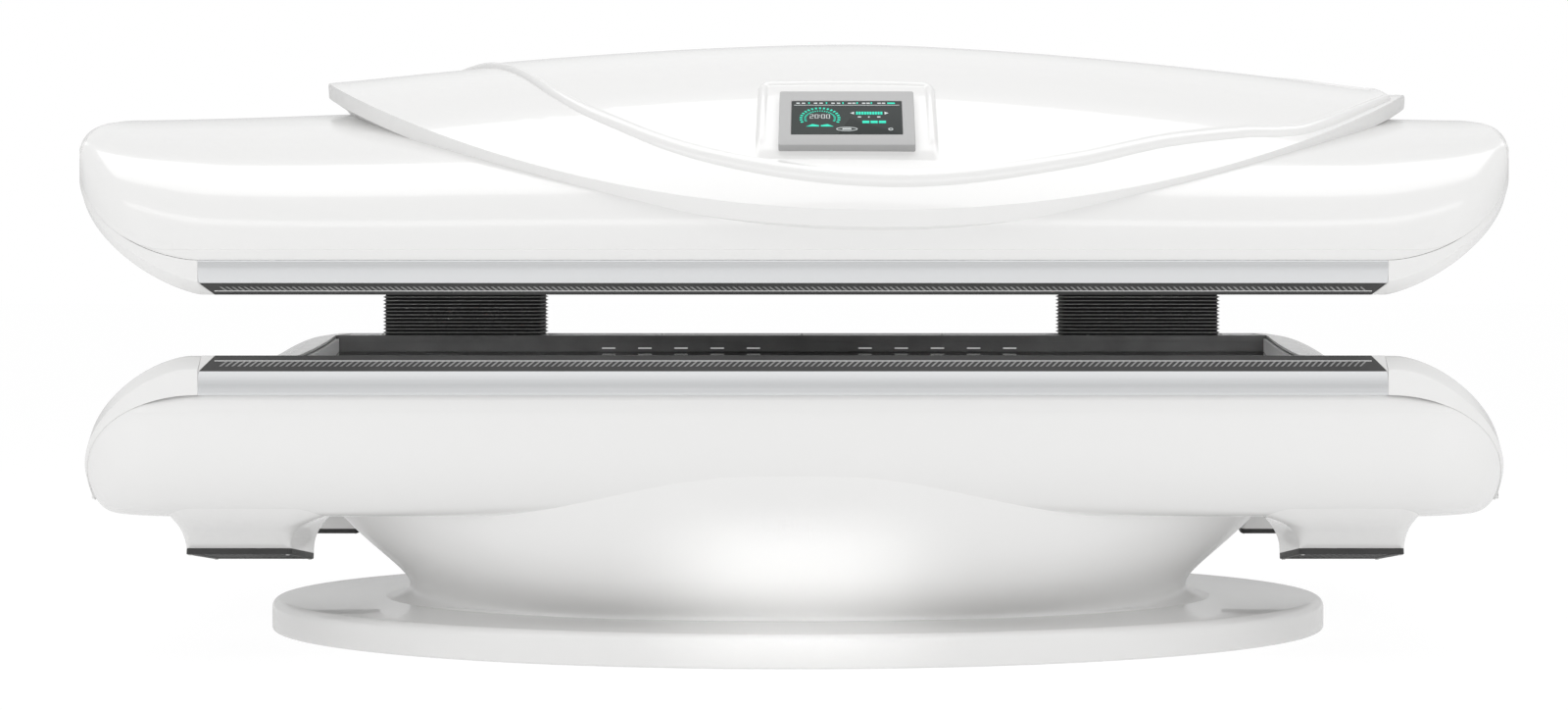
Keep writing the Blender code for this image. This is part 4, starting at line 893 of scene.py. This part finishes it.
def make_pads(black, steel):
    low, high = -SEAT_GAP - GRILLE_THICKNESS, -SEAT_GAP
    border, edge, pitch, inner_corner = 0.0125, 0.0008, 0.010, 0.002
    size = BOSS_SIZE
    inner, foot = [tuple(extent - 2 * inset for extent in size) for inset in (border, edge)]
    levels = ((inner, inner_corner, low + 0.0006), (foot, BOSS_CORNER - edge, low),
              (size, BOSS_CORNER, low + edge), (size, BOSS_CORNER, high), (inner, inner_corner, high))
    rings = [[(x, y, z) for x, y in rounded_rectangle(wide / 2, deep / 2, corner)]
             for (wide, deep), corner, z in levels]
    border_mesh = Shape().grid(rings + rings[:1], wrap=True).mesh("pad_border")
    columns, rows = int(inner[0] / pitch), int(inner[1] / pitch)
    step_x, step_y = inner[0] / columns, inner[1] / rows
    hole, plate_low, plate_high = 0.36, low + 0.0012, low + 0.0032
    tile = ring_tile(1.0, hole, plate_low, plate_high)
    tile.transform(Matrix.Diagonal((step_x - 2e-5, step_y - 2e-5, 1, 1)))
    field = repeated("pad_holes", tile, black, inner[0] - step_x, inner[1] - step_y, columns, rows)
    turn = Matrix.Translation((0, 0, low)) @ Matrix.Rotation(pi, 4, "X")
    head = screw_head(0.0032, 0.0014)
    heads = repeated("pad_screws", head, steel, size[0] - border, size[1] - border, columns=2, rows=2)
    for name, matrix in pad_places():
        mesh = joined(f"pad_{name}", [(border_mesh, matrix), (field, matrix)])
        piece(f"pad_{name}", mesh, black, "bed", [f"intake_grille_{name}"])
        mesh = joined(f"pad_screws_{name}", [(heads, matrix @ turn)])
        piece(f"pad_screws_{name}", mesh, steel, "bed")


# Light boards and inner trim


def trough_point(across):
    sag = TROUGH_SAG * (1 - across * across)
    return SHEET_CENTRE_Y + SHEET_HALF * across, RIM - SHEET_BELOW_RIM - sag - BOARD_DROP


def arch_point(angle):
    turn = radians(angle)
    base = CANOPY_EDGE + SHEET_BELOW_RIM
    return SHEET_CENTRE_Y - SHEET_HALF * cos(turn), base + (ARCH_RISE + BOARD_LIFT) * sin(turn)


def light_dome():
    """One small lens on a light board, standing on the plane z = 0."""
    rings = ((0.0046, 0.0), (0.0040, 0.0018), (0.0018, 0.0030))
    return solid("light_dome", turned(rings), sharp=60)


def make_lights(lens):
    pitch, across_border, end_border = 0.024, 0.034, 0.04
    for body, point, boards in (("bed", trough_point, BED_BOARDS), ("canopy", arch_point, CANOPY_BOARDS)):
        for name, start, end in boards:
            a, b = Vector((0, *point(start))), Vector((0, *point(end)))
            across = (b - a).normalized()
            along = Vector((1, 0, 0))
            out = along.cross(across)
            if (out.z > 0) != (body == "bed"):
                out = -out
                along = -along
            matrix = seated(along, across, out, (a + b) / 2 + out * 0.0001)
            width = (b - a).length - across_border
            rows, columns = int(width / pitch) + 1, int((2 * BOARD_HALF - end_border) / pitch) + 1
            label = f"{body}_lights_{name}"
            mesh = repeated(label, light_dome(), lens, (columns - 1) * pitch, width, columns, rows)
            mesh.transform(matrix)
            piece(label, mesh, lens, body)


def make_inner_marks(pale, dark, steel):
    """Two rows of small slots of light on the dark rear panel, its ledge, and the rear deck's screws."""
    half_long, half_tall, proud = 0.0125, 0.0010, 0.0008
    item = Shape().block((-half_long, -half_tall, 0.0), (half_long, half_tall, proud)).mesh("slot_light")
    dashes = repeated("slot_lights", item, pale, 0.272, 0.0, columns=5, rows=1)
    face, level, run = REAR_RIM_Y - 0.0001, 0.456, RAIL_HALF - 0.008
    front = Matrix.Rotation(pi / 2, 4, "X")
    rows = [(dashes, Matrix.Translation((x, face, level)) @ front) for x in (-0.226, 0.256)]
    piece("slot_lights", joined("slot_lights", rows), pale, "bed")
    ledge = Shape()
    for proud, low, high in ((0.0035, 0.4675, 0.4690), (0.0020, 0.4500, 0.4508)):
        ledge.block((-run, REAR_RIM_Y - proud, low), (run, face, high))
    piece("inner_panel_ledge", ledge.mesh("inner_panel_ledge"), dark, "bed")
    low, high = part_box("bed_rear_deck")
    heads = repeated("deck_screws", screw_head(0.0045, 0.0022), steel, 1.62, high.y - low.y - 0.02,
                     columns=7, rows=2)
    heads.transform(Matrix.Translation((0, (low.y + high.y) / 2, high.z)))
    piece("deck_screws", heads, steel, "bed")


# Screen


def make_screen(metal, glass):
    matrix = screen_matrix()
    low = SURROUND_PROUD + SEAT_GAP
    high = low + BEZEL_THICKNESS
    shape = Shape()
    rings = soft_block(BEZEL_SIZE, 0.004, high, 0.003, 0.0012)
    outline = rounded_rectangle(GLASS_SIZE[0] / 2, GLASS_SIZE[1] / 2, 0.0015)
    window = [(x, y + GLASS_UP_SHIFT) for x, y in outline]
    shape.grid(placed(rings, matrix), wrap=True)
    bevel_x, bevel_y = 1.014, 1.022
    face = [(x * bevel_x, y * bevel_y, high) for x, y in window]
    walls = [[(x, y, high - drop) for x, y in window] for drop in (0.0012, GLASS_THICKNESS)]
    rows = [rings[-1], face, *walls]
    shape.grid(placed(rows, matrix), wrap=True)
    mesh = shape.mesh("screen_frame", sharp=25, closed=False)
    piece("screen_frame", mesh, metal, "canopy", ["screen_bezel"])
    rings = soft_block(GLASS_SIZE, high - GLASS_THICKNESS, high - SEAT_GAP, 0.0012, 0.0004)
    rings = placed(rings, matrix @ Matrix.Translation((0, GLASS_UP_SHIFT, 0)))
    piece("screen_pane", solid("screen_pane", rings), glass, "canopy", ["screen_glass"])


class Readout:
    """Thin plates on the screen, in shares of the glass's width and height from its middle."""

    def __init__(self, name):
        self.name = name
        self.shape = Shape()
        top = SURROUND_PROUD + BEZEL_THICKNESS
        self.matrix = screen_matrix() @ Matrix.Translation((0, GLASS_UP_SHIFT, top))

    def at(self, u, v, z):
        return tuple(self.matrix @ Vector((u * GLASS_SIZE[0], v * GLASS_SIZE[1], z)))

    def plate(self, corners, thick=READOUT_THICKNESS):
        rows = [[self.at(u, v, z) for u, v in corners] for z in (0.0, thick)]
        self.shape.grid(rows, wrap=True, caps=True)

    def bar(self, u0, v0, u1, v1):
        self.plate(((u0, v0), (u1, v0), (u1, v1), (u0, v1)))

    def row(self, places, v0, v1, wide):
        for u in places:
            self.bar(u, v0, u + wide, v1)

    def loop(self, u, v, half_u, half_v, wide):
        """An outlined oval."""
        rings = []
        top = READOUT_THICKNESS
        for z, grow in ((0.0, 0.0), (top, 0.0), (top, wide), (0.0, wide), (0.0, 0.0)):
            oval = ellipse(half_u - grow, half_v - 1.8 * grow, 24)
            rings.append([self.at(u + across, v + up, z) for across, up in oval])
        self.shape.grid(rings, wrap=True)

    def digit(self, value, u, v, wide, tall):
        """One numeral of seven bars."""
        thick = 0.22 * wide
        lit = {0: "abcdef", 2: "abged"}[value]
        spans = {"a": (0, tall - thick, wide, tall), "g": (0, (tall - thick) / 2, wide, (tall + thick) / 2),
                 "d": (0, 0, wide, thick), "f": (0, tall / 2, thick, tall), "e": (0, 0, thick, tall / 2),
                 "b": (wide - thick, tall / 2, wide, tall), "c": (wide - thick, 0, wide, tall / 2)}
        for name in lit:
            u0, v0, u1, v1 = spans[name]
            self.bar(u + u0, v + v0, u + u1, v + v1)

    def finish(self, material):
        piece(self.name, self.shape.mesh(self.name), material, "canopy")


def make_readout(teal, pale, painted_reflection):
    # Painted reflection: a slightly lighter plate over part of the glass stands in for the sheen of light on
    # it.
    reflection_plate = Readout("painted_glass_reflection")
    reflection_plate.plate(((-0.495, -0.49), (-0.08, -0.49), (0.10, 0.30), (-0.495, 0.30)), 0.0001)
    reflection_plate.finish(painted_reflection)
    lit = Readout("readout_lit")
    lit.row((-0.35, -0.19, -0.04, 0.09, 0.22), 0.41, 0.46, 0.012)
    lit.bar(0.37, 0.41, 0.44, 0.45)
    gauge_u, gauge_v = -0.243, -0.03
    for reach_u, reach_v, count, wide in ((0.185, 0.33, 19, 0.05), (0.145, 0.24, 25, 0.03)):
        for step in range(count):
            turn = radians(200 - 220 * step / (count - 1))
            ring = []
            for reach, off in ((1.0, -wide), (1.0, wide), (0.86, wide), (0.86, -wide)):
                ring.append((gauge_u + reach_u * reach * cos(turn + off),
                             gauge_v + reach_v * reach * sin(turn + off)))
            lit.plate(ring)
    wing = ((0.008, -0.27), (0.123, -0.27), (0.068, -0.20), (0.008, -0.235))
    for turn in (-1, 1):
        lit.plate([(gauge_u + turn * u, v) for u, v in wing])
    lit.row([0.084 + 0.0245 * step for step in range(10)], 0.09, 0.17, 0.019)
    lit.row((0.140, 0.215, 0.290), -0.17, -0.10, 0.064)
    lit.finish(teal)
    marks = Readout("readout_marks")
    for value, u in ((2, -0.335), (0, -0.290), (0, -0.232), (0, -0.187)):
        marks.digit(value, u, -0.03, 0.034, 0.12)
    for v in (0.01, 0.06):
        marks.bar(-0.247, v, -0.241, v + 0.02)
    for u, turn in ((0.066, -1), (0.343, 1)):
        marks.plate(((u, 0.09), (u + turn * 0.034, 0.13), (u, 0.17)))
    for u, wide in ((0.10, 0.03), (0.193, 0.014), (0.275, 0.03)):
        marks.bar(u, 0.0, u + wide, 0.03)
    marks.bar(-0.48, 0.365, 0.48, 0.375)
    labels = (-0.46, -0.41, -0.30, -0.25, -0.14, -0.09, 0.01, 0.05, 0.14, 0.18, 0.28, 0.32)
    marks.row(labels, 0.415, 0.445, 0.032)
    marks.loop(0.0, -0.345, 0.097, 0.058, 0.008)
    marks.bar(-0.04, -0.36, 0.04, -0.325)
    marks.loop(0.395, -0.35, 0.022, 0.036, 0.008)
    marks.finish(pale)


# Finishes


class Net:
    """Shorthand for filling a node tree."""

    def __init__(self, tree):
        self.tree = tree

    def feed(self, node, links):
        """Joins sockets to a node's inputs, or gives the inputs plain values."""
        for socket, value in links.items():
            if isinstance(value, bpy.types.NodeSocket):
                self.tree.links.new(value, node.inputs[socket])
            else:
                node.inputs[socket].default_value = value
        return node

    def add(self, kind, links=None, **settings):
        node = self.tree.nodes.new(kind)
        for key, value in settings.items():
            setattr(node, key, value)
        return self.feed(node, links or {})

    def noise(self, vector, scale, detail=2.0):
        node = self.add("ShaderNodeTexNoise", {"Vector": vector, "Scale": scale, "Detail": detail})
        return node.outputs["Fac"]

    def ranged(self, value, start, stop, low, high, kind="SMOOTHSTEP"):
        """A value brought from one range to another."""
        limits = {"From Min": start, "From Max": stop, "To Min": low, "To Max": high}
        node = self.add("ShaderNodeMapRange", {"Value": value, **limits}, interpolation_type=kind)
        return node.outputs["Result"]

    def spread(self, value, low, high):
        """A noise value brought to a range of its own."""
        return self.ranged(value, 0.3, 0.7, low, high, "LINEAR")

    def product(self, a, b):
        return self.add("ShaderNodeMath", {0: a, 1: b}, operation="MULTIPLY").outputs[0]

    def tinted(self, colour, value):
        """A colour made lighter or darker by a value."""
        node = self.add("ShaderNodeVectorMath", {0: colour, "Scale": value}, operation="SCALE")
        return node.outputs[0]

    def blended(self, share, a, b):
        node = self.add("ShaderNodeMix", {0: share, 6: a, 7: b}, data_type="RGBA")
        return node.outputs[2]


def finish_group(name, fill):
    """A shared finish: colour and roughness in, varied tone, roughness and height out."""
    tree = bpy.data.node_groups.new(name, "ShaderNodeTree")
    give_sockets(tree, "INPUT", Colour="Color", Roughness="Float")
    give_sockets(tree, "OUTPUT", Tone="Color", Roughness="Float", Height="Float")
    net = Net(tree)
    given = net.add("NodeGroupInput")
    place = net.add("ShaderNodeTexCoord").outputs["Object"]
    tone, roughness, height = fill(net, place, given.outputs["Colour"], given.outputs["Roughness"])
    net.add("NodeGroupOutput", {"Tone": tone, "Roughness": roughness, "Height": height})
    return tree


def moulded(net, place, colour, roughness):
    """Smooth moulded plastic: faint drift in tone and gloss, and a very fine skin."""
    drift = net.spread(net.noise(place, 2.3), 0.996, 1.0)
    gloss = net.spread(net.noise(place, 7.0), 0.98, 1.02)
    return net.tinted(colour, drift), net.product(roughness, gloss), net.noise(place, 160.0)


def brushed(net, place, colour, roughness):
    """Metal brushed along X."""
    stretched = net.add("ShaderNodeMapping", {"Vector": place, "Scale": (1.2, 420.0, 420.0)}).outputs[0]
    lines = net.noise(stretched, 1.0, 3.0)
    tone = net.tinted(colour, net.spread(lines, 0.985, 1.01))
    return tone, net.product(roughness, net.spread(lines, 0.95, 1.05)), lines


def grained(net, place, colour, roughness):
    """Plastic with a fine leather grain."""
    cells = net.add("ShaderNodeTexVoronoi", {"Vector": place, "Scale": 420.0}).outputs["Distance"]
    drift = net.spread(net.noise(place, 14.0), 0.82, 1.12)
    return net.tinted(colour, drift), net.product(roughness, net.spread(cells, 0.9, 1.15)), cells


def printed(net, place, colour, roughness):
    """A board with a printed grid of darker tracks."""
    bricks = net.add("ShaderNodeTexBrick", {
        "Vector": place, "Scale": 20.0, "Mortar Size": 0.03,
        "Color1": (1, 1, 1, 1), "Color2": (0.9, 0.9, 0.9, 1), "Mortar": (0.55, 0.55, 0.55, 1)})
    tone = net.add("ShaderNodeMix", {0: 1.0, 6: colour, 7: bricks.outputs["Color"]}, data_type="RGBA",
                   blend_type="MULTIPLY").outputs[2]
    return tone, net.product(roughness, net.spread(net.noise(place, 30.0), 0.85, 1.2)), bricks.outputs["Fac"]


def pleated(net, place, colour, roughness):
    """Dark coated cloth with a painted highlight: each pleat's crest is coloured paler where light would
    catch it.
    """
    crest = net.add("ShaderNodeAttribute", attribute_name="crest").outputs["Fac"]
    ramp = net.ranged(crest, 0.62, 0.95, 0.0, 1.0)
    crest_highlight = net.tinted(colour, 30.0)
    weave = net.noise(place, 900.0)
    return net.blended(ramp, colour, crest_highlight), net.product(roughness, net.spread(weave, 0.9, 1.1)), weave


def finish(name, group, colour, roughness, bump=0.02, **sockets):
    made = bpy.data.materials.new(name)
    made.use_nodes = True
    net = Net(made.node_tree)
    shader = made.node_tree.nodes["Principled BSDF"]
    look = net.add("ShaderNodeGroup", {"Colour": (*colour, 1), "Roughness": roughness}, node_tree=group)
    tone, rough, height = (look.outputs[output] for output in ("Tone", "Roughness", "Height"))
    raised = net.add("ShaderNodeBump", {"Height": height, "Strength": bump, "Distance": 0.001})
    net.feed(shader, {"Base Color": tone, "Roughness": rough, "Normal": raised.outputs["Normal"]})
    for socket, value in sockets.items():
        net.feed(shader, {socket.replace("_", " ").title().replace("Ior", "IOR"): value})
    if "emission_strength" in sockets:
        net.feed(shader, {"Emission Color": tone})
    return made


def dress(material, *names):
    """Gives a finish to CAD nodes that keep their own shape."""
    for name in names:
        NODES[name].data.materials.clear()
        NODES[name].data.materials.append(material)


def dress_inside(white, wall, steel, tube, black, clear, board, dark):
    quarters = [f"{depth}_{end}" for depth in ("front", "rear") for end, _ in ENDS]
    dress(white, "bed_rear_deck", "canopy_rear_deck")
    dress(wall, "bed_end_wall_left", "bed_end_wall_right")
    dress(steel, "pedestal_column", "bed_frame", "canopy_frame", "power_supply", "controller")
    dress(clear, "bed_acrylic", "canopy_acrylic")
    dress(dark, "bed_rear_inner_panel")
    dress(board, *(f"bed_led_board_{name}" for name, _, _ in BED_BOARDS))
    dress(board, *(f"canopy_led_board_{name}" for name, _, _ in CANOPY_BOARDS))
    dress(black, "power_inlet", *(f"fan_frame_{q}" for q in quarters), *(f"fan_rotor_{q}" for q in quarters))
    for end, _ in ENDS:
        dress(tube, f"column_outer_{end}", f"column_middle_{end}", f"column_inner_{end}")
        dress(steel, f"lift_motor_{end}")


# Stage


def make_world():
    """Pale studio: white where seen, graded from a dim horizon to white where mirrored."""
    scene = bpy.context.scene
    scene.view_settings.view_transform = "Standard"
    world = bpy.data.worlds.new("studio")
    scene.world = world
    world.use_nodes = True
    world.node_tree.nodes.clear()
    net = Net(world.node_tree)
    path = net.add("ShaderNodeLightPath")
    place = net.add("ShaderNodeTexCoord").outputs["Generated"]
    height = net.add("ShaderNodeSeparateXYZ", {0: place}).outputs["Z"]
    level = net.add("ShaderNodeMath", {0: height}, operation="ABSOLUTE").outputs[0]
    share = net.ranged(level, 0.0, 0.55, 0.62, 1.0)
    soft, seen, mirrored = (net.add("ShaderNodeBackground", {0: (1, 1, 1, 1), 1: strength}).outputs[0]
                            for strength in (0.52, 1.0, share))
    camera, through, glossy = (path.outputs[f"Is {ray} Ray"] for ray in ("Camera", "Transmission", "Glossy"))
    clear = net.add("ShaderNodeMath", {0: camera, 1: through}, operation="MAXIMUM").outputs[0]
    unseen = net.add("ShaderNodeMixShader", {0: glossy, 1: soft, 2: mirrored}).outputs[0]
    mix = net.add("ShaderNodeMixShader", {0: clear, 1: unseen, 2: seen}).outputs[0]
    net.add("ShaderNodeOutputWorld", {0: mix})


def make_floor():
    size = 30
    shape = Shape().grid([[(-size, -size, 0), (size, -size, 0)], [(-size, size, 0), (size, size, 0)]])
    floor = loose("floor", shape.mesh("floor", closed=False))
    material = bpy.data.materials.new("pale_floor")
    material.use_nodes = True
    net = Net(material.node_tree)
    shader = material.node_tree.nodes["Principled BSDF"]
    net.feed(shader, {"Base Color": (0.90, 0.90, 0.90, 1), "Roughness": 0.9})
    glow = net.add("ShaderNodeEmission", {"Color": (1, 1, 1, 1), "Strength": 1.05}).outputs[0]
    seen = net.add("ShaderNodeLightPath").outputs["Is Camera Ray"]
    share = net.add("ShaderNodeMath", {0: net.product(seen, 0.52), 1: 0.38}, operation="ADD").outputs[0]
    mix = net.add("ShaderNodeMixShader", {0: share, 1: shader.outputs[0], 2: glow}).outputs[0]
    net.feed(material.node_tree.nodes["Material Output"], {0: mix})
    floor.data.materials.append(material)


def lamp(name, place, aim, size, power):
    data = bpy.data.lights.new(name, "AREA")
    data.shape = "RECTANGLE"
    data.size, data.size_y = size
    data.energy = power
    made = loose(name, data)
    made.location = place
    made.rotation_mode = "QUATERNION"
    made.rotation_quaternion = (Vector(aim) - Vector(place)).to_track_quat("-Z", "Y")
    return made


def make_stage():
    make_world()
    make_floor()
    lamp("overhead", (0.0, 0.1, 3.4), (0, 0, 0.4), (4.2, 1.6), 36)
    lamp("gloss_strip", (0.0, -2.2, 2.8), (0, -0.4, 0.5), (5.0, 0.35), 8)
    fills = [lamp("front_left", (-3.0, -4.4, 2.2), (0, 0, 0.5), (2.4, 2.4), 28),
             lamp("front_right", (3.2, -4.2, 1.9), (0, 0, 0.5), (2.2, 2.2), 23),
             lamp("front_low", (0.0, -5.0, 0.4), (0, 0, 0.15), (6.0, 0.6), 24)]
    for end, turn in ENDS:
        fills.append(lamp(f"plinth_{end}", (turn * 2.4, -1.3, 0.55), (turn * 0.7, 0, 0.05), (2.0, 0.9), 4))
    for fill in fills:
        fill.visible_glossy = False
    glows = [pedestal_glow()]
    for end, turn in ENDS:
        glow = lamp(f"tunnel_{end}", (turn * 0.45, -0.30, 0.535), (turn * 0.9, 0.35, 0.45), (0.10, 0.03), 1.6)
        glows.append(glow)
    for glow in glows:
        glow.visible_camera = glow.visible_glossy = False


def pedestal_glow():
    """A narrow lamp close to the floor for the bright middle of the pedestal."""
    made = lamp("pedestal_glow", (0.0, -1.6, 0.06), (0, -0.42, 0.125), (0.34, 0.04), 0.08)
    made.data.spread = radians(15)
    return made


def make_camera():
    """Straight camera with a shifted lens, for an image of 1600 by 724."""
    data = bpy.data.cameras.new("camera")
    width, height, focal = 1600, 724, 2388
    vanishing = (848, 266)
    data.sensor_width = 36
    data.lens = focal * data.sensor_width / width
    data.shift_x = (width / 2 - vanishing[0]) / width
    data.shift_y = (vanishing[1] - height / 2) / width
    made = loose("camera", data)
    made.location = (0.056, -4.0, 0.62)
    made.rotation_euler = (pi / 2, 0, 0)
    bpy.context.scene.camera = made


# Assembly

REPEAT = field_tree()
MOULDED = finish_group("moulded_finish", moulded)
BRUSHED = finish_group("brushed_finish", brushed)
GRAINED = finish_group("grained_finish", grained)
white = finish("white_gloss", MOULDED, (0.82, 0.818, 0.812), 0.2, coat_weight=0.6)
# Lighter copy of the white finish for the pedestal: the extra lightness is painted light.
pedestal_lit_white = finish("pedestal_lit_white", MOULDED, (0.84, 0.838, 0.832), 0.25, coat_weight=0.3)
wall = finish("grey_wall", MOULDED, (0.80, 0.80, 0.80), 0.4)
satin = finish("satin_aluminium", BRUSHED, (0.80, 0.81, 0.82), 0.26, metallic=1.0)
bezel = finish("screen_bezel_metal", BRUSHED, (0.40, 0.40, 0.40), 0.5, metallic=0.25)
dark = finish("dark_strip", GRAINED, (0.055, 0.055, 0.055), 0.5)
inner = finish("inner_panel", GRAINED, (0.11, 0.11, 0.11), 0.5)
hatch = finish("strip_hatch", GRAINED, (0.34, 0.34, 0.34), 0.45)
# Pale finish of the hatch band's bead: a painted highlight along the band's upper edge.
highlight_bead = finish("strip_highlight_bead", BRUSHED, (0.85, 0.85, 0.85), 0.4)
black = finish("black_plastic", GRAINED, (0.035, 0.035, 0.035), 0.5, 0.1)
steel = finish("painted_steel", GRAINED, (0.22, 0.23, 0.24), 0.5, 0.1)
tube = finish("bright_tube", BRUSHED, (0.66, 0.67, 0.68), 0.3, metallic=1.0)
zinc = finish("zinc_screw", BRUSHED, (0.55, 0.55, 0.54), 0.35, metallic=1.0)
pleat = finish("pleated_cover", finish_group("pleated_finish", pleated), (0.018, 0.018, 0.018), 0.6)
board = finish("light_board", finish_group("printed_finish", printed), (0.72, 0.73, 0.72), 0.5)
lens = finish("light_lens", MOULDED, (0.62, 0.14, 0.11), 0.15, coat_weight=0.5)
clear = finish("clear_acrylic", MOULDED, (0.97, 0.98, 0.98), 0.05, 0.0, transmission_weight=1.0, ior=1.49)
glass = finish("screen_glass", MOULDED, (0.020, 0.026, 0.025), 0.2, specular_ior_level=0.1)
# Dark grey a little lighter than the glass: painted reflection for the screen's sheen.
painted_reflection = finish("painted_glass_reflection", MOULDED, (0.034, 0.042, 0.040), 0.3, specular_ior_level=0.1)
teal = finish("readout_teal", MOULDED, (0.03, 0.60, 0.42), 0.3,
              emission_strength=0.45, specular_ior_level=0.1)
pale = finish("readout_pale", MOULDED, (0.60, 0.64, 0.64), 0.3,
              emission_strength=0.2, specular_ior_level=0.1)
slots = finish("slot_light", MOULDED, (0.75, 0.75, 0.74), 0.3, emission_strength=0.35)

make_stage()
make_camera()
make_plinth(white)
make_pedestal(pedestal_lit_white)
make_tub(white)
make_rim("bed", BED, white, satin, dark, hatch, highlight_bead)
make_cover(white)
make_rim("canopy", CANOPY, white, satin, dark, hatch, highlight_bead)
make_leaf(white)
make_panel(white)
make_bellows(pleat)
make_pads(black, zinc)
make_lights(lens)
make_inner_marks(slots, inner, zinc)
make_screen(bezel, glass)
make_readout(teal, pale, painted_reflection)
dress_inside(white, wall, steel, tube, black, clear, board, inner)
